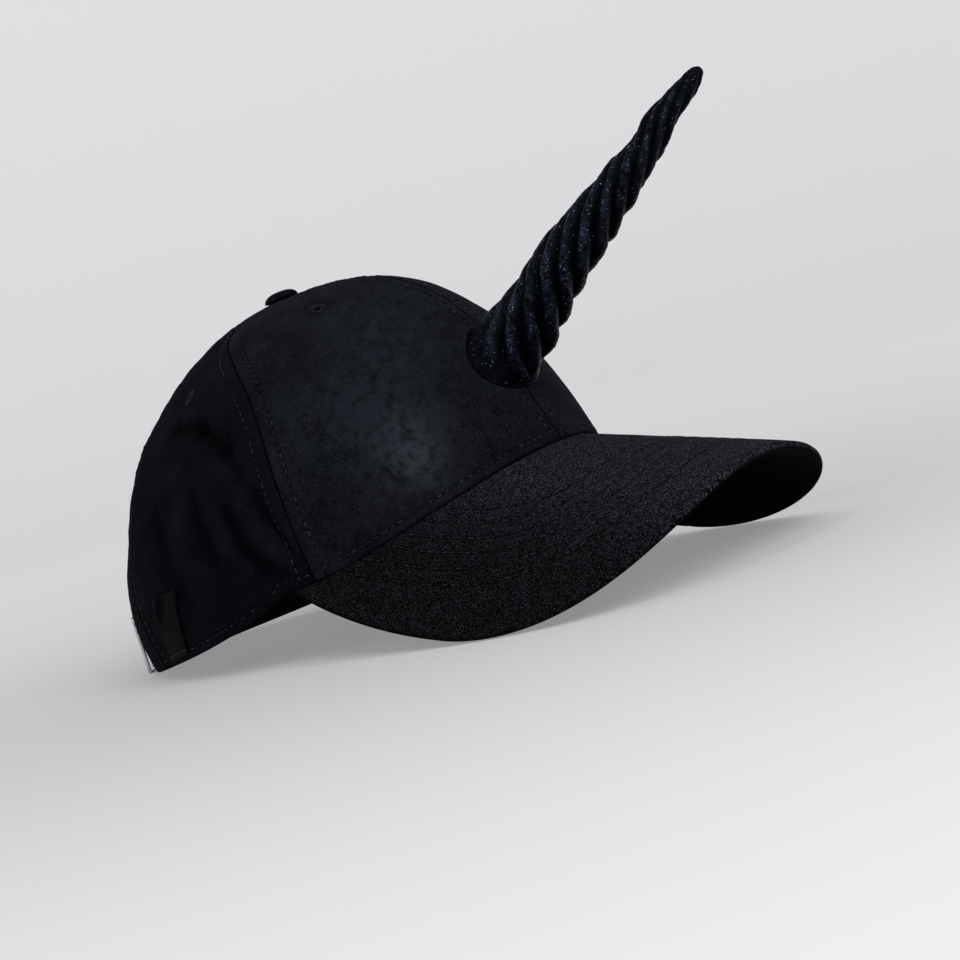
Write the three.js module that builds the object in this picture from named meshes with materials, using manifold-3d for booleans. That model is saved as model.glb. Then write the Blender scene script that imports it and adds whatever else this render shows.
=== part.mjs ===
// Unicorn cap: a six panel cloth cap with a curved visor and a twisted stuffed horn
// Millimetres. The cap faces -Y, the wearer's left is +X, and it stands on the plane z = 0.
import * as THREE from 'three';
import { mergeVertices } from 'three/addons/utils/BufferGeometryUtils.js';
import Module from 'manifold-3d';

// Crown
const crownHalfWidth = 76.5;
const crownFront = 101;
const crownBack = 113.5;
const crownHeight = 113.5;
const clothWall = 2;
const seamGap = 0.3;
const pieceGap = 0.4;
const sideSeamAngle = 71;
const rearSeamAngle = 124;
const sideSeamBow = 54;
const foldDepth = 3;
const eyeletRadius = 1.7;
const crownHoleRadius = 3;

// Opening and strap at the back
const archWidth = 106;
const archHeight = 54;
const strapWidth = 20;
const strapThickness = 1.8;
const strapDrop = 2.4;
const strapEnd = 13;
const buckleLength = 18;
const buckleRail = 1.1;
const buckleBar = 2.4;
const buckleOffset = 17;

// Band inside the rim
const bandHeight = 30;
const bandThickness = 1.5;

// Visor
const visorLength = 82;
const visorRadius = 88.5;
const visorSlope = 19.4;
const visorEndAngle = 80;
const visorEndHeight = 10.3;
const visorWing = 9.5;
const visorThickness = 3.4;
const pressDepth = 0.25;

// Horn
const hornLength = 132;
const hornRadius = 15;
const hornRise = 27.2;
const hornPlaceShare = 0.332;
const hornLead = 88;
const hornRibs = 7;
const ribDepth = 2.4;

// Button and label
const buttonRadius = 6.5;
const buttonHeight = 3.4;
const postRadius = 2;
const labelWidth = 16;
const labelHeight = 22.5;
const labelThickness = 0.7;
const labelLeanAngle = 8;
const labelAngle = -115.5;

// How each meridian of the crown leaves the rim and reaches the top, at four bearings.
// Lean is in degrees outwards, the handles are shares of the crown's height and of the radius.
const crownRows = [
  { bearing: 0, lean: -24, lowHandle: 0.35, highHandle: 0.92 },
  { bearing: 60, lean: 7, lowHandle: 0.85, highHandle: 0.35 },
  { bearing: 120, lean: 16, lowHandle: 0.53, highHandle: 0.57 },
  { bearing: 180, lean: -1.5, lowHandle: 0.385, highHandle: 0.43 },
];

// Folds of the soft side and back panels. Across runs from the side seam (0) over the rear
// seam (1) to the centre of the back (2), up is the share along the meridian, width is a
// share of the crown's half width and depth a share of the fold depth, inwards below zero.
const folds = [
  { side: -1, from: [0.62, 0.54], to: [0.36, 0.36], width: 0.13, depth: -0.75 },
  { side: -1, from: [0.36, 0.36], to: [0.14, 0.24], width: 0.1, depth: -0.6 },
  { side: -1, from: [0.26, 0.2], to: [0.2, 0.05], width: 0.06, depth: -1 },
  { side: -1, from: [0.34, 0.2], to: [0.3, 0.06], width: 0.07, depth: 0.6 },
  { side: -1, from: [0.46, 0.27], to: [0.4, 0.08], width: 0.08, depth: -0.5 },
  { side: -1, from: [0.76, 0.33], to: [0.62, 0.22], width: 0.09, depth: -0.5 },
  { side: -1, from: [0.88, 0.5], to: [0.8, 0.12], width: 0.1, depth: 0.45 },
  { side: -1, from: [0.03, 0.6], to: [0.03, 0.88], width: 0.1, depth: -0.8 },
  { side: -1, from: [1.3, 0.62], to: [1.18, 0.3], width: 0.14, depth: -0.6 },
  { side: 1, from: [0.6, 0.5], to: [0.34, 0.34], width: 0.14, depth: -0.6 },
  { side: 1, from: [0.24, 0.2], to: [0.2, 0.06], width: 0.07, depth: -0.8 },
  { side: 1, from: [0.8, 0.34], to: [0.62, 0.16], width: 0.1, depth: -0.5 },
  { side: 1, from: [0.03, 0.6], to: [0.03, 0.88], width: 0.1, depth: -0.7 },
  { side: 1, from: [1.34, 0.6], to: [1.2, 0.34], width: 0.14, depth: -0.6 },
];

// The horn's taper: share along its length, and radius as a share of the base radius
const hornSections = [
  { along: 0, radius: 1 },
  { along: 0.04, radius: 0.89 },
  { along: 0.1, radius: 0.77 },
  { along: 0.2, radius: 0.7 },
  { along: 0.33, radius: 0.64 },
  { along: 0.48, radius: 0.575 },
  { along: 0.62, radius: 0.455 },
  { along: 0.74, radius: 0.39 },
  { along: 0.86, radius: 0.295 },
  { along: 0.96, radius: 0.22 },
  { along: 1, radius: 0.12 },
];

const panels = [
  { name: 'panel_front_left', from: 0, to: sideSeamAngle, across: 0.5, up: 0.625 },
  { name: 'panel_side_left', from: sideSeamAngle, to: rearSeamAngle, across: 0.41, up: 0.555 },
  { name: 'panel_back_left', from: rearSeamAngle, to: 180, across: 0.5, up: 0.56 },
  { name: 'panel_front_right', from: -sideSeamAngle, to: 0, across: 0.5, up: 0.625 },
  { name: 'panel_side_right', from: -rearSeamAngle, to: -sideSeamAngle, across: 0.59, up: 0.555 },
  { name: 'panel_back_right', from: -180, to: -rearSeamAngle, across: 0.5, up: 0.56 },
];

const colours = {
  crown: { color: 0x15171d, roughness: 0.9, metalness: 0 },
  visor: { color: 0x17181c, roughness: 0.88, metalness: 0 },
  band: { color: 0x101114, roughness: 0.92, metalness: 0 },
  horn: { color: 0x0d0e14, roughness: 0.42, metalness: 0.15 },
  label: { color: 0x1b1c20, roughness: 0.5, metalness: 0 },
  metal: { color: 0xb9bcc0, roughness: 0.28, metalness: 1 },
};

const wasm = await Module();
wasm.setup();

const radians = THREE.MathUtils.degToRad;
const clamp = THREE.MathUtils.clamp;
const lerp = THREE.MathUtils.lerp;
const smooth = THREE.MathUtils.smoothstep;

// The value between low and high where a rising or falling function crosses zero
function solve(low, high, value) {
  const startSign = Math.sign(value(low));
  for (let step = 0; step < 40; step++) {
    const middle = (low + high) / 2;
    if (Math.sign(value(middle)) === startSign) low = middle;
    else high = middle;
  }
  return (low + high) / 2;
}

// Shares from 0 to 1 in equal steps
function evenShares(steps) {
  return Array.from({ length: steps + 1 }, (_, step) => step / steps);
}

// Bearing of the arch's corner from the front, in degrees
const archHalfAngle = THREE.MathUtils.radToDeg(Math.asin(archWidth / 2 / crownHalfWidth));
const archCorner = 180 - archHalfAngle;

// The rim seen from above, at a bearing from the front, positive towards the wearer's left
function rimPlan(bearing) {
  const angle = radians(bearing);
  const depth = Math.cos(angle) > 0 ? crownFront : crownBack;
  return { x: crownHalfWidth * Math.sin(angle), y: -depth * Math.cos(angle) };
}

// How far the visor's cylinder has fallen at a distance from the middle
function visorFall(x) {
  const share = clamp(x / visorRadius, -0.995, 0.995);
  return visorRadius * (1 - Math.sqrt(1 - share * share));
}

const slope = radians(visorSlope);
const slopedFall = (x, y) => Math.tan(slope) * (y + crownFront) - visorFall(x) / Math.cos(slope);
const visorEnd = rimPlan(visorEndAngle);
const visorLift = visorEndHeight - slopedFall(visorEnd.x, visorEnd.y);

// Height of the visor's upper face over a point of the plan
const visorTop = (x, y) => visorLift + slopedFall(x, y);

// Height of the crown's lower edge: it follows the visor, then eases down to the level back
function rimHeight(bearing) {
  const turn = Math.abs(THREE.MathUtils.euclideanModulo(bearing + 180, 360) - 180);
  const plan = rimPlan(Math.min(turn, visorEndAngle));
  if (turn <= visorEndAngle) return visorTop(plan.x, plan.y);
  const before = rimPlan(visorEndAngle - 0.1);
  const steepness = (visorEndHeight - visorTop(before.x, before.y)) / radians(0.1);
  const past = radians(turn - visorEndAngle);
  return visorEndHeight * Math.exp(-past / 0.25) + steepness * past * Math.exp(-past / 0.14);
}

// A value of the crown's rows at a bearing, eased from row to row
function crownValue(bearing, key) {
  const turn = Math.abs(THREE.MathUtils.euclideanModulo(bearing + 180, 360) - 180);
  const last = crownRows.length - 1;
  const row = Math.min(Math.floor(turn / crownRows[1].bearing), last - 1);
  const share = turn / crownRows[1].bearing - row;
  const at = (index) => crownRows[index < 0 ? 1 : index > last ? last - 1 : index][key];
  const [a, b, c, d] = [at(row - 1), at(row), at(row + 1), at(row + 2)];
  const linear = (c - a) * share;
  const square = (2 * a - 5 * b + 4 * c - d) * share ** 2;
  const cube = (3 * b - a - 3 * c + d) * share ** 3;
  return 0.5 * (2 * b + linear + square + cube);
}

// The smooth outer face: a share along the meridian from the rim (0) to the top (1)
function meridian(bearing, share) {
  const rim = rimPlan(bearing);
  const reach = Math.hypot(rim.x, rim.y);
  const foot = rimHeight(bearing);
  const rise = crownHeight - foot;
  const lean = radians(crownValue(bearing, 'lean'));
  const handle = crownValue(bearing, 'lowHandle') * rise;
  const lowReach = reach + Math.sin(lean) * handle;
  const lowHeight = foot + Math.cos(lean) * handle;
  const highReach = crownValue(bearing, 'highHandle') * reach;
  const rest = 1 - share;
  const weights = [rest ** 3, 3 * share * rest ** 2, 3 * share ** 2 * rest, share ** 3];
  const distance = weights[0] * reach + weights[1] * lowReach + weights[2] * highReach;
  const low = weights[0] * foot + weights[1] * lowHeight;
  const height = low + (weights[2] + weights[3]) * crownHeight;
  return new THREE.Vector3((rim.x / reach) * distance, (rim.y / reach) * distance, height);
}

function crownNormal(bearing, share) {
  const step = 0.02;
  const low = Math.min(share, 1 - 2 * step);
  const across = meridian(bearing + 0.5, low).sub(meridian(bearing - 0.5, low));
  const along = meridian(bearing, low + step).sub(meridian(bearing, Math.max(low - step, 0)));
  return across.cross(along).normalize();
}

// Bearing of a seam at a share up the crown: the side seams sweep and then bow towards the back
function seamBearing(base, share) {
  if (Math.abs(base) !== sideSeamAngle) return base;
  const up = clamp((share - 0.25) / 0.75, 0, 1);
  return base + Math.sign(base) * sideSeamBow * up ** 2 * (1 - up ** 6);
}

// Distance from a point to a fold's line, with both as shares of the crown's half width
function foldDistance(fold, across, up) {
  const start = new THREE.Vector2(fold.from[0], fold.from[1] * 2);
  const line = new THREE.Vector2(fold.to[0], fold.to[1] * 2).sub(start);
  const point = new THREE.Vector2(across, up * 2).sub(start);
  const share = clamp(point.dot(line) / line.lengthSq(), 0, 1);
  return point.sub(line.multiplyScalar(share)).length();
}

// How far the folds move the cloth outwards
function foldHeight(bearing, share) {
  const turn = Math.abs(bearing);
  const side = Math.sign(bearing);
  const seam = seamBearing(sideSeamAngle, share);
  if (turn < seam) return 0;
  const onSide = (turn - seam) / (rearSeamAngle - seam);
  const onBack = 1 + (turn - rearSeamAngle) / (180 - rearSeamAngle);
  const across = turn < rearSeamAngle ? onSide : onBack;
  let height = 0;
  for (const fold of folds) {
    const distance = foldDistance(fold, across, share) / (fold.width * 1.2);
    if (fold.side === side) height += fold.depth * Math.exp(-distance * distance);
  }
  const eased = smooth(share, 0, 0.04) * (1 - smooth(share, 0.85, 0.95));
  return foldDepth * height * eased;
}

// A point of the crown's cloth at a depth behind its outer face. Low down the band backs the
// cloth, so its inner face keeps the smooth form there and the folds only dent the outside.
function crownPoint(bearing, share, inset, folded = true) {
  const point = meridian(bearing, share);
  const inner = smooth(share, 0.2, 0.32);
  const part = inset > 0 ? inner : 0.3 + 0.7 * inner;
  const move = (folded ? foldHeight(bearing, share) * part : 0) - inset;
  return point.addScaledVector(crownNormal(bearing, share), move);
}

// The lowest share at which the cloth, at a depth behind its outer face, clears the visor
function footShare(bearing, inset) {
  if (Math.abs(bearing) > visorEndAngle) return 0;
  return solve(0, 0.3, (share) => {
    const point = crownPoint(bearing, share, inset, false);
    return point.z - visorTop(point.x, point.y) - seamGap;
  });
}

// The share along a meridian at a height above the rim
function shareAtHeight(bearing, height) {
  const level = rimHeight(bearing) + height;
  return solve(0, 0.9, (share) => meridian(bearing, share).z - level);
}

// The share along a meridian at a small distance from the top's axis
function shareAtReach(bearing, reach) {
  const distance = (share) => Math.hypot(meridian(bearing, share).x, meridian(bearing, share).y);
  return solve(0.5, 1, (share) => distance(share) - reach);
}

// Degrees of bearing that a length takes along the rim
function rimAngle(length, bearing) {
  const one = rimPlan(bearing - 0.5);
  const two = rimPlan(bearing + 0.5);
  return length / Math.hypot(two.x - one.x, two.y - one.y);
}

// Merges doubled corners and drops faces that have no area
function closedGeometry(positions, faces) {
  const loose = new THREE.BufferGeometry();
  loose.setAttribute('position', new THREE.Float32BufferAttribute(positions, 3));
  loose.setIndex(faces);
  const merged = mergeVertices(loose, 1e-3);
  const kept = [];
  for (let face = 0; face < merged.index.count; face += 3) {
    const corners = [0, 1, 2].map((corner) => merged.index.getX(face + corner));
    if (new Set(corners).size === 3) kept.push(...corners);
  }
  merged.setIndex(kept);
  merged.computeVertexNormals();
  return merged;
}

// A closed wall between two faces given over one grid of shares
function wallGeometry(columns, rows, outer, inner) {
  const positions = [];
  for (const face of [outer, inner]) {
    for (const column of columns) {
      for (const row of rows) positions.push(...face(column, row).toArray());
    }
  }
  const last = columns.length - 1;
  const top = rows.length - 1;
  const layer = columns.length * rows.length;
  const at = (face, column, row) => face * layer + column * rows.length + row;
  const faces = [];
  const corner = (index) => new THREE.Vector3().fromArray(positions, 3 * index);
  const quad = (a, b, c, d) => {
    const straight = corner(a).distanceTo(corner(c)) <= corner(b).distanceTo(corner(d));
    faces.push(...(straight ? [a, b, c, a, c, d] : [a, b, d, b, c, d]));
  };
  for (let i = 0; i < last; i++) {
    for (let j = 0; j < top; j++) {
      quad(at(0, i, j), at(0, i + 1, j), at(0, i + 1, j + 1), at(0, i, j + 1));
      quad(at(1, i, j), at(1, i, j + 1), at(1, i + 1, j + 1), at(1, i + 1, j));
    }
    quad(at(0, i, 0), at(1, i, 0), at(1, i + 1, 0), at(0, i + 1, 0));
    quad(at(0, i, top), at(0, i + 1, top), at(1, i + 1, top), at(1, i, top));
  }
  for (let j = 0; j < top; j++) {
    quad(at(0, 0, j), at(0, 0, j + 1), at(1, 0, j + 1), at(1, 0, j));
    quad(at(0, last, j), at(1, last, j), at(1, last, j + 1), at(0, last, j + 1));
  }
  return closedGeometry(positions, faces);
}

function toManifold(geometry) {
  const bare = new THREE.BufferGeometry();
  bare.setAttribute('position', geometry.attributes.position);
  bare.setIndex(geometry.index);
  const merged = mergeVertices(bare);
  return new wasm.Manifold(new wasm.Mesh({
    numProp: 3,
    vertProperties: new Float32Array(merged.attributes.position.array),
    triVerts: new Uint32Array(merged.index.array),
  }));
}

function toGeometry(manifold) {
  const mesh = manifold.getMesh();
  const geometry = new THREE.BufferGeometry();
  geometry.setAttribute('position', new THREE.Float32BufferAttribute(mesh.vertProperties, 3));
  geometry.setIndex(new THREE.Uint32BufferAttribute(mesh.triVerts, 1));
  geometry.computeVertexNormals();
  return geometry;
}

function makeMesh(name, geometry, finish) {
  const mesh = new THREE.Mesh(geometry, new THREE.MeshStandardMaterial(colours[finish]));
  mesh.name = name;
  return mesh;
}

// Visor: a slab of a sloping cylinder, between the rim and a rounded front edge
const visorEndAcross = visorRadius * Math.asin(visorEnd.x / visorRadius);
const visorHalf = visorEndAcross + visorWing;
const frontCurve = 2.9;
const frontPower = 1.78;
const backPower = 2.1;

// A point of the visor: distance round the curve, distance along the slope, and depth
function visorPoint(around, along, depth) {
  const angle = around / visorRadius;
  const fall = (visorRadius - depth) * Math.cos(angle) - visorRadius;
  const x = (visorRadius - depth) * Math.sin(angle);
  const y = -crownFront - Math.cos(slope) * along - Math.sin(slope) * fall;
  return new THREE.Vector3(x, y, visorLift - Math.sin(slope) * along + Math.cos(slope) * fall);
}

// Where the visor's upper face meets the rim, one wall inside the crown's outer face
function visorInner(around) {
  const seat = crownHalfWidth - clothWall;
  const x = visorRadius * Math.sin(Math.abs(around) / visorRadius);
  const reach = seat * Math.sin(radians(visorEndAngle));
  const alongOf = (across, y) => {
    return (Math.sin(slope) * visorFall(across) - crownFront - y) / Math.cos(slope);
  };
  if (x < reach) {
    const y = -(crownFront - clothWall) * Math.sqrt(1 - (x / seat) ** 2);
    return alongOf(x, y);
  }
  const start = visorRadius * Math.asin(reach / visorRadius);
  const end = alongOf(visorEnd.x, visorEnd.y);
  const share = clamp((visorHalf - Math.abs(around)) / (visorHalf - start), 0, 1);
  return end * share ** (1 / backPower);
}

function visorOuter(around) {
  const share = clamp(Math.abs(around) / visorHalf, 0, 1);
  return visorLength * (1 - share ** frontCurve) ** (1 / frontPower);
}

function visorFace(depth) {
  return (column, row) => {
    const around = visorHalf * Math.sin(radians(180 * column - 90));
    return visorPoint(around, lerp(visorOuter(around), visorInner(around), row), depth);
  };
}

// The cap rests on the strap behind and on the two lobes of the visor, so it tips back
const edgeShares = evenShares(60);
const lobePoints = edgeShares.map((column) => visorFace(visorThickness)(column, 0));
const strapPoint = (bearing, row, inset) => {
  const low = crownPoint(bearing, shareAtHeight(bearing, strapDrop), inset, false);
  const high = crownPoint(bearing, shareAtHeight(bearing, strapDrop + strapWidth), inset, false);
  return low.lerp(high, row);
};
const strapFoot = strapPoint(180, 0, clothWall);
const heightAt = (point, tilt) => point.z * Math.cos(tilt) - point.y * Math.sin(tilt);
const lowest = (points, tilt) => Math.min(...points.map((point) => heightAt(point, tilt)));
const restTilt = solve(0, radians(25), (tilt) => {
  return lowest(lobePoints, tilt) - heightAt(strapFoot, tilt);
});
const floorLevel = lowest(lobePoints, restTilt) + pressDepth;
const floorNormal = new THREE.Vector3(0, -Math.sin(restTilt), Math.cos(restTilt));

// Cloth that would reach below the plane it stands on is pressed flat against it
function pressed(point) {
  const height = heightAt(point, restTilt) - floorLevel;
  return height < 0 ? point.addScaledVector(floorNormal, -height) : point;
}

function makeVisor() {
  const columns = evenShares(44);
  const rows = evenShares(6);
  const upper = (column, row) => pressed(visorFace(0)(column, row));
  const lower = (column, row) => pressed(visorFace(visorThickness)(column, row));
  return makeMesh('visor', wallGeometry(columns, rows, upper, lower), 'visor');
}

// Share along a back panel's meridian where the arch cuts it off
function archShare(bearing) {
  const across = (180 - Math.abs(bearing)) / archHalfAngle;
  if (across >= 1) return 0;
  return shareAtHeight(bearing, archHeight * Math.sqrt(1 - across * across));
}

// Columns of a panel as shares of its width: close together at the arch's steep corner
function panelColumns(panel) {
  if (Math.abs(panel.from) !== 180 && Math.abs(panel.to) !== 180) return evenShares(12);
  const corner = (archCorner - rearSeamAngle) / (180 - rearSeamAngle);
  const plain = evenShares(3).slice(0, -1).map((share) => share * corner);
  const bend = evenShares(9).map((share) => 1 - Math.cos((share * Math.PI) / 2));
  const shares = [...plain, ...bend.map((share) => lerp(corner, 1, share))];
  return panel.to === 180 ? shares : shares.map((share) => 1 - share).reverse();
}

// A panel's bearing at a share of its width, clear of its neighbours by half a seam gap
function panelBearing(panel, column, share) {
  const place = meridian(panel.from, share);
  const reach = Math.max(Math.hypot(place.x, place.y), crownHoleRadius / 2);
  const gap = THREE.MathUtils.radToDeg(seamGap / 2 / reach);
  const from = seamBearing(panel.from, share) + gap;
  return lerp(from, seamBearing(panel.to, share) - gap, column);
}

function panelFace(panel, inset) {
  return (column, row) => {
    const plain = lerp(panel.from, panel.to, column);
    const foot = footShare(panelBearing(panel, column, 0), inset);
    const level = lerp(foot, shareAtReach(plain, crownHoleRadius), row);
    const share = Math.max(level, archShare(plain));
    return pressed(crownPoint(panelBearing(panel, column, share), share, inset));
  };
}

function makePanel(panel) {
  const faces = [panelFace(panel, 0), panelFace(panel, clothWall)];
  const shell = wallGeometry(panelColumns(panel), evenShares(14), ...faces);
  const bearing = panelBearing(panel, panel.across, panel.up);
  const drill = new THREE.CylinderGeometry(eyeletRadius, eyeletRadius, 8 * clothWall, 12);
  const turn = new THREE.Quaternion();
  turn.setFromUnitVectors(new THREE.Vector3(0, 1, 0), crownNormal(bearing, panel.up));
  drill.applyQuaternion(turn);
  const centre = crownPoint(bearing, panel.up, 0);
  drill.translate(centre.x, centre.y, centre.z);
  const holed = toManifold(shell).subtract(toManifold(drill));
  return makeMesh(panel.name, toGeometry(holed), 'crown');
}

// Band: lines the rim from one corner of the arch round the front to the other
const linerInset = clothWall + pieceGap;
const strapStart = archCorner - rimAngle(strapEnd, archCorner);

function makeBand() {
  const end = strapStart - rimAngle(2 * pieceGap, strapStart);
  const face = (inset) => (column, row) => {
    const bearing = lerp(-end, end, column);
    const share = lerp(footShare(bearing, inset), shareAtHeight(bearing, bandHeight), row);
    return crownPoint(bearing, share, inset, false);
  };
  const faces = [face(linerInset), face(linerInset + bandThickness)];
  return makeMesh('sweatband', wallGeometry(evenShares(42), evenShares(3), ...faces), 'band');
}

// Strap: sewn behind both sides of the arch, it comes level with the panels between them
const strapTopShare = (strapDrop + strapWidth) / archHeight;
const archEdge = 180 - archHalfAngle * Math.sqrt(1 - strapTopShare * strapTopShare);
const rampStart = archEdge + rimAngle(3 * pieceGap, archEdge);
const rampEnd = rampStart + rimAngle(strapEnd / 3, archEdge);

function strapInset(bearing) {
  const turn = 180 - Math.abs(180 - bearing);
  return lerp(linerInset, pieceGap, smooth(turn, rampStart, rampEnd));
}

// Bearings of the strap's columns, close together where it comes out between the panels
function strapBearings() {
  const behind = evenShares(3).map((share) => lerp(strapStart, rampStart, share));
  const ramp = evenShares(3).slice(1).map((share) => lerp(rampStart, rampEnd, share));
  const open = evenShares(10).slice(1).map((share) => lerp(rampEnd, 180, share));
  const half = [...behind, ...ramp, ...open];
  return [...half, ...half.slice(0, -1).reverse().map((bearing) => 360 - bearing)];
}

function makeStrap() {
  const face = (depth) => (bearing, row) => {
    return pressed(strapPoint(bearing, row, strapInset(bearing) + depth));
  };
  const geometry = wallGeometry(strapBearings(), evenShares(1), face(0), face(strapThickness));
  return makeMesh('back_strap', geometry, 'band');
}

// Buckle: a plate with one wide window in front of the strap, and a bar behind it
function makeBuckle() {
  const bearing = -(archCorner + rimAngle(buckleOffset, archCorner));
  const around = 360 + bearing;
  const centre = strapPoint(around, 0.5, strapInset(around));
  const up = strapPoint(around, 1, 0).sub(strapPoint(around, 0, 0)).normalize();
  const along = strapPoint(around + 1, 0.5, 0).sub(strapPoint(around - 1, 0.5, 0)).normalize();
  const outward = along.clone().cross(up).normalize();
  up.crossVectors(outward, along);
  const height = strapWidth + 2 * (buckleRail + pieceGap);
  const outline = (halfLength, halfHeight, corner) => {
    const shape = new THREE.Shape();
    shape.moveTo(-halfLength + corner, -halfHeight);
    shape.lineTo(halfLength - corner, -halfHeight);
    shape.quadraticCurveTo(halfLength, -halfHeight, halfLength, -halfHeight + corner);
    shape.lineTo(halfLength, halfHeight - corner);
    shape.quadraticCurveTo(halfLength, halfHeight, halfLength - corner, halfHeight);
    shape.lineTo(-halfLength + corner, halfHeight);
    shape.quadraticCurveTo(-halfLength, halfHeight, -halfLength, halfHeight - corner);
    shape.lineTo(-halfLength, -halfHeight + corner);
    shape.quadraticCurveTo(-halfLength, -halfHeight, -halfLength + corner, -halfHeight);
    return shape;
  };
  const plate = outline(buckleLength / 2, height / 2, buckleBar);
  plate.holes.push(outline(buckleLength / 2 - buckleBar, height / 2 - buckleRail, buckleRail));
  const cut = { depth: buckleRail, bevelEnabled: false, curveSegments: 4 };
  const frame = new THREE.ExtrudeGeometry(plate, cut);
  frame.translate(0, 0, pieceGap);
  const behind = strapThickness + 2 * pieceGap;
  const bar = new THREE.BoxGeometry(buckleBar, height, buckleRail);
  bar.translate(0, 0, -behind + pieceGap - buckleRail / 2);
  let buckle = toManifold(frame).add(toManifold(bar));
  for (const side of [-1, 1]) {
    const post = new THREE.BoxGeometry(buckleBar, buckleRail, behind + 1.5 * buckleRail);
    const middle = pieceGap + buckleRail / 2 - (behind + 1.5 * buckleRail) / 2;
    post.translate(0, (side * (height - buckleRail)) / 2, middle);
    buckle = buckle.add(toManifold(post));
  }
  const place = new THREE.Matrix4().makeBasis(along, up, outward).setPosition(centre);
  return makeMesh('strap_buckle', toGeometry(buckle).applyMatrix4(place), 'metal');
}

// Label: a small bare tag on the wearer's right, leaning a little
function makeLabel() {
  const half = rimAngle(labelWidth / 2, labelAngle);
  const face = (inset) => (column, row) => {
    const height = strapDrop + row * labelHeight;
    const bearing = labelAngle + lerp(-half, half, column) + labelLeanAngle * row;
    return crownPoint(bearing, shareAtHeight(bearing, height), inset);
  };
  const faces = [face(-pieceGap - labelThickness), face(-pieceGap)];
  const geometry = wallGeometry(evenShares(5), evenShares(5), ...faces);
  return makeMesh('side_label', geometry, 'label');
}

// Button: a covered dome over the point where the panels meet, with its post through them
function makeButton() {
  const seat = crownHeight + pieceGap;
  const foot = -3 * clothWall;
  const profile = [new THREE.Vector2(0, foot), new THREE.Vector2(postRadius, foot)];
  profile.push(new THREE.Vector2(postRadius, 0), new THREE.Vector2(buttonRadius, 0));
  const edge = buttonHeight / 4;
  for (const share of evenShares(6).slice(0, -1)) {
    const angle = (share * Math.PI) / 2;
    const height = lerp(edge, buttonHeight, Math.sin(angle));
    profile.push(new THREE.Vector2(Math.cos(angle) * buttonRadius, height));
  }
  profile.push(new THREE.Vector2(0, buttonHeight));
  const dome = new THREE.LatheGeometry(profile, 24);
  dome.rotateX(Math.PI / 2);
  dome.translate(0, 0, seat);
  const closed = closedGeometry([...dome.attributes.position.array], [...dome.index.array]);
  return makeMesh('top_button', closed, 'crown');
}

// Horn: ribs wound round a tapering cone whose skirt lies on the crown
const hornBase = meridian(0, hornPlaceShare);
const hornAxis = new THREE.Vector3(0, -Math.cos(radians(hornRise)), Math.sin(radians(hornRise)));
const hornRight = new THREE.Vector3(1, 0, 0);
const hornUp = hornAxis.clone().cross(hornRight);

// Positive outside the crown, negative inside
function outsideCrown(point) {
  const depth = point.y < 0 ? crownFront : crownBack;
  const bearing = THREE.MathUtils.radToDeg(Math.atan2(point.x / crownHalfWidth, -point.y / depth));
  const share = solve(0, 1, (value) => meridian(bearing, value).z - point.z);
  const wall = meridian(bearing, share);
  return Math.hypot(point.x, point.y) - Math.hypot(wall.x, wall.y);
}

function hornPoint(angle, radius, along) {
  const point = hornBase.clone().addScaledVector(hornAxis, along);
  point.addScaledVector(hornRight, Math.cos(angle) * radius);
  return point.addScaledVector(hornUp, Math.sin(angle) * radius);
}

// Distance along the horn's axis at which a point of the skirt lies on the crown
function skirtSeat(angle, radius) {
  const seat = solve(-hornRadius, hornRadius, (along) => {
    return outsideCrown(hornPoint(angle, radius, along));
  });
  return seat + pieceGap / Math.cos(radians(hornRise));
}

function hornTaper(share) {
  const next = Math.max(hornSections.findIndex((section) => section.along >= share), 1);
  const [low, high] = [hornSections[next - 1], hornSections[next]];
  return lerp(low.radius, high.radius, (share - low.along) / (high.along - low.along)) * hornRadius;
}

function hornSide(angle, share) {
  const radius = hornTaper(share);
  const phase = hornRibs * (angle + (2 * Math.PI * share * hornLength) / hornLead);
  const rib = Math.abs(Math.cos(phase / 2)) - 0.64;
  const strength = smooth(share, 0.02, 0.1) * (1 - smooth(share, 0.93, 1));
  const depth = (ribDepth * radius) / hornTaper(0.2);
  const straight = share * hornLength;
  const along = lerp(straight + skirtSeat(angle, radius), straight, smooth(share, 0, 0.22));
  return hornPoint(angle, radius + rib * depth * strength, along);
}

function makeHorn() {
  const around = 35;
  const skirt = 0.12;
  const levels = evenShares(6).map((share) => share * skirt);
  levels.push(...evenShares(32).slice(1).map((share) => lerp(skirt, 1, share)));
  const positions = [];
  for (const ring of [1 / 3, 2 / 3]) {
    for (let i = 0; i < around; i++) {
      const angle = (2 * Math.PI * i) / around;
      const radius = ring * hornRadius;
      positions.push(...hornPoint(angle, radius, skirtSeat(angle, radius)).toArray());
    }
  }
  for (const share of levels) {
    for (let i = 0; i < around; i++) {
      positions.push(...hornSide((2 * Math.PI * i) / around, share).toArray());
    }
  }
  const rings = levels.length + 2;
  const faces = [];
  for (let ring = 0; ring < rings - 1; ring++) {
    for (let i = 0; i < around; i++) {
      const next = (i + 1) % around;
      const [a, b] = [ring * around + i, ring * around + next];
      faces.push(a, b, b + around, a, b + around, a + around);
    }
  }
  const foot = positions.length / 3;
  positions.push(...hornPoint(0, 0, skirtSeat(0, 0)).toArray());
  positions.push(...hornPoint(0, 0, hornLength * 1.012).toArray());
  for (let i = 0; i < around; i++) {
    const next = (i + 1) % around;
    faces.push(foot, next, i);
    faces.push(foot + 1, (rings - 1) * around + i, (rings - 1) * around + next);
  }
  return makeMesh('horn', closedGeometry(positions, faces), 'horn');
}

const cap = new THREE.Group();
cap.add(...panels.map(makePanel), makeButton(), makeVisor(), makeHorn());
cap.add(makeBand(), makeStrap(), makeBuckle(), makeLabel());
cap.rotation.x = -restTilt;

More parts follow.
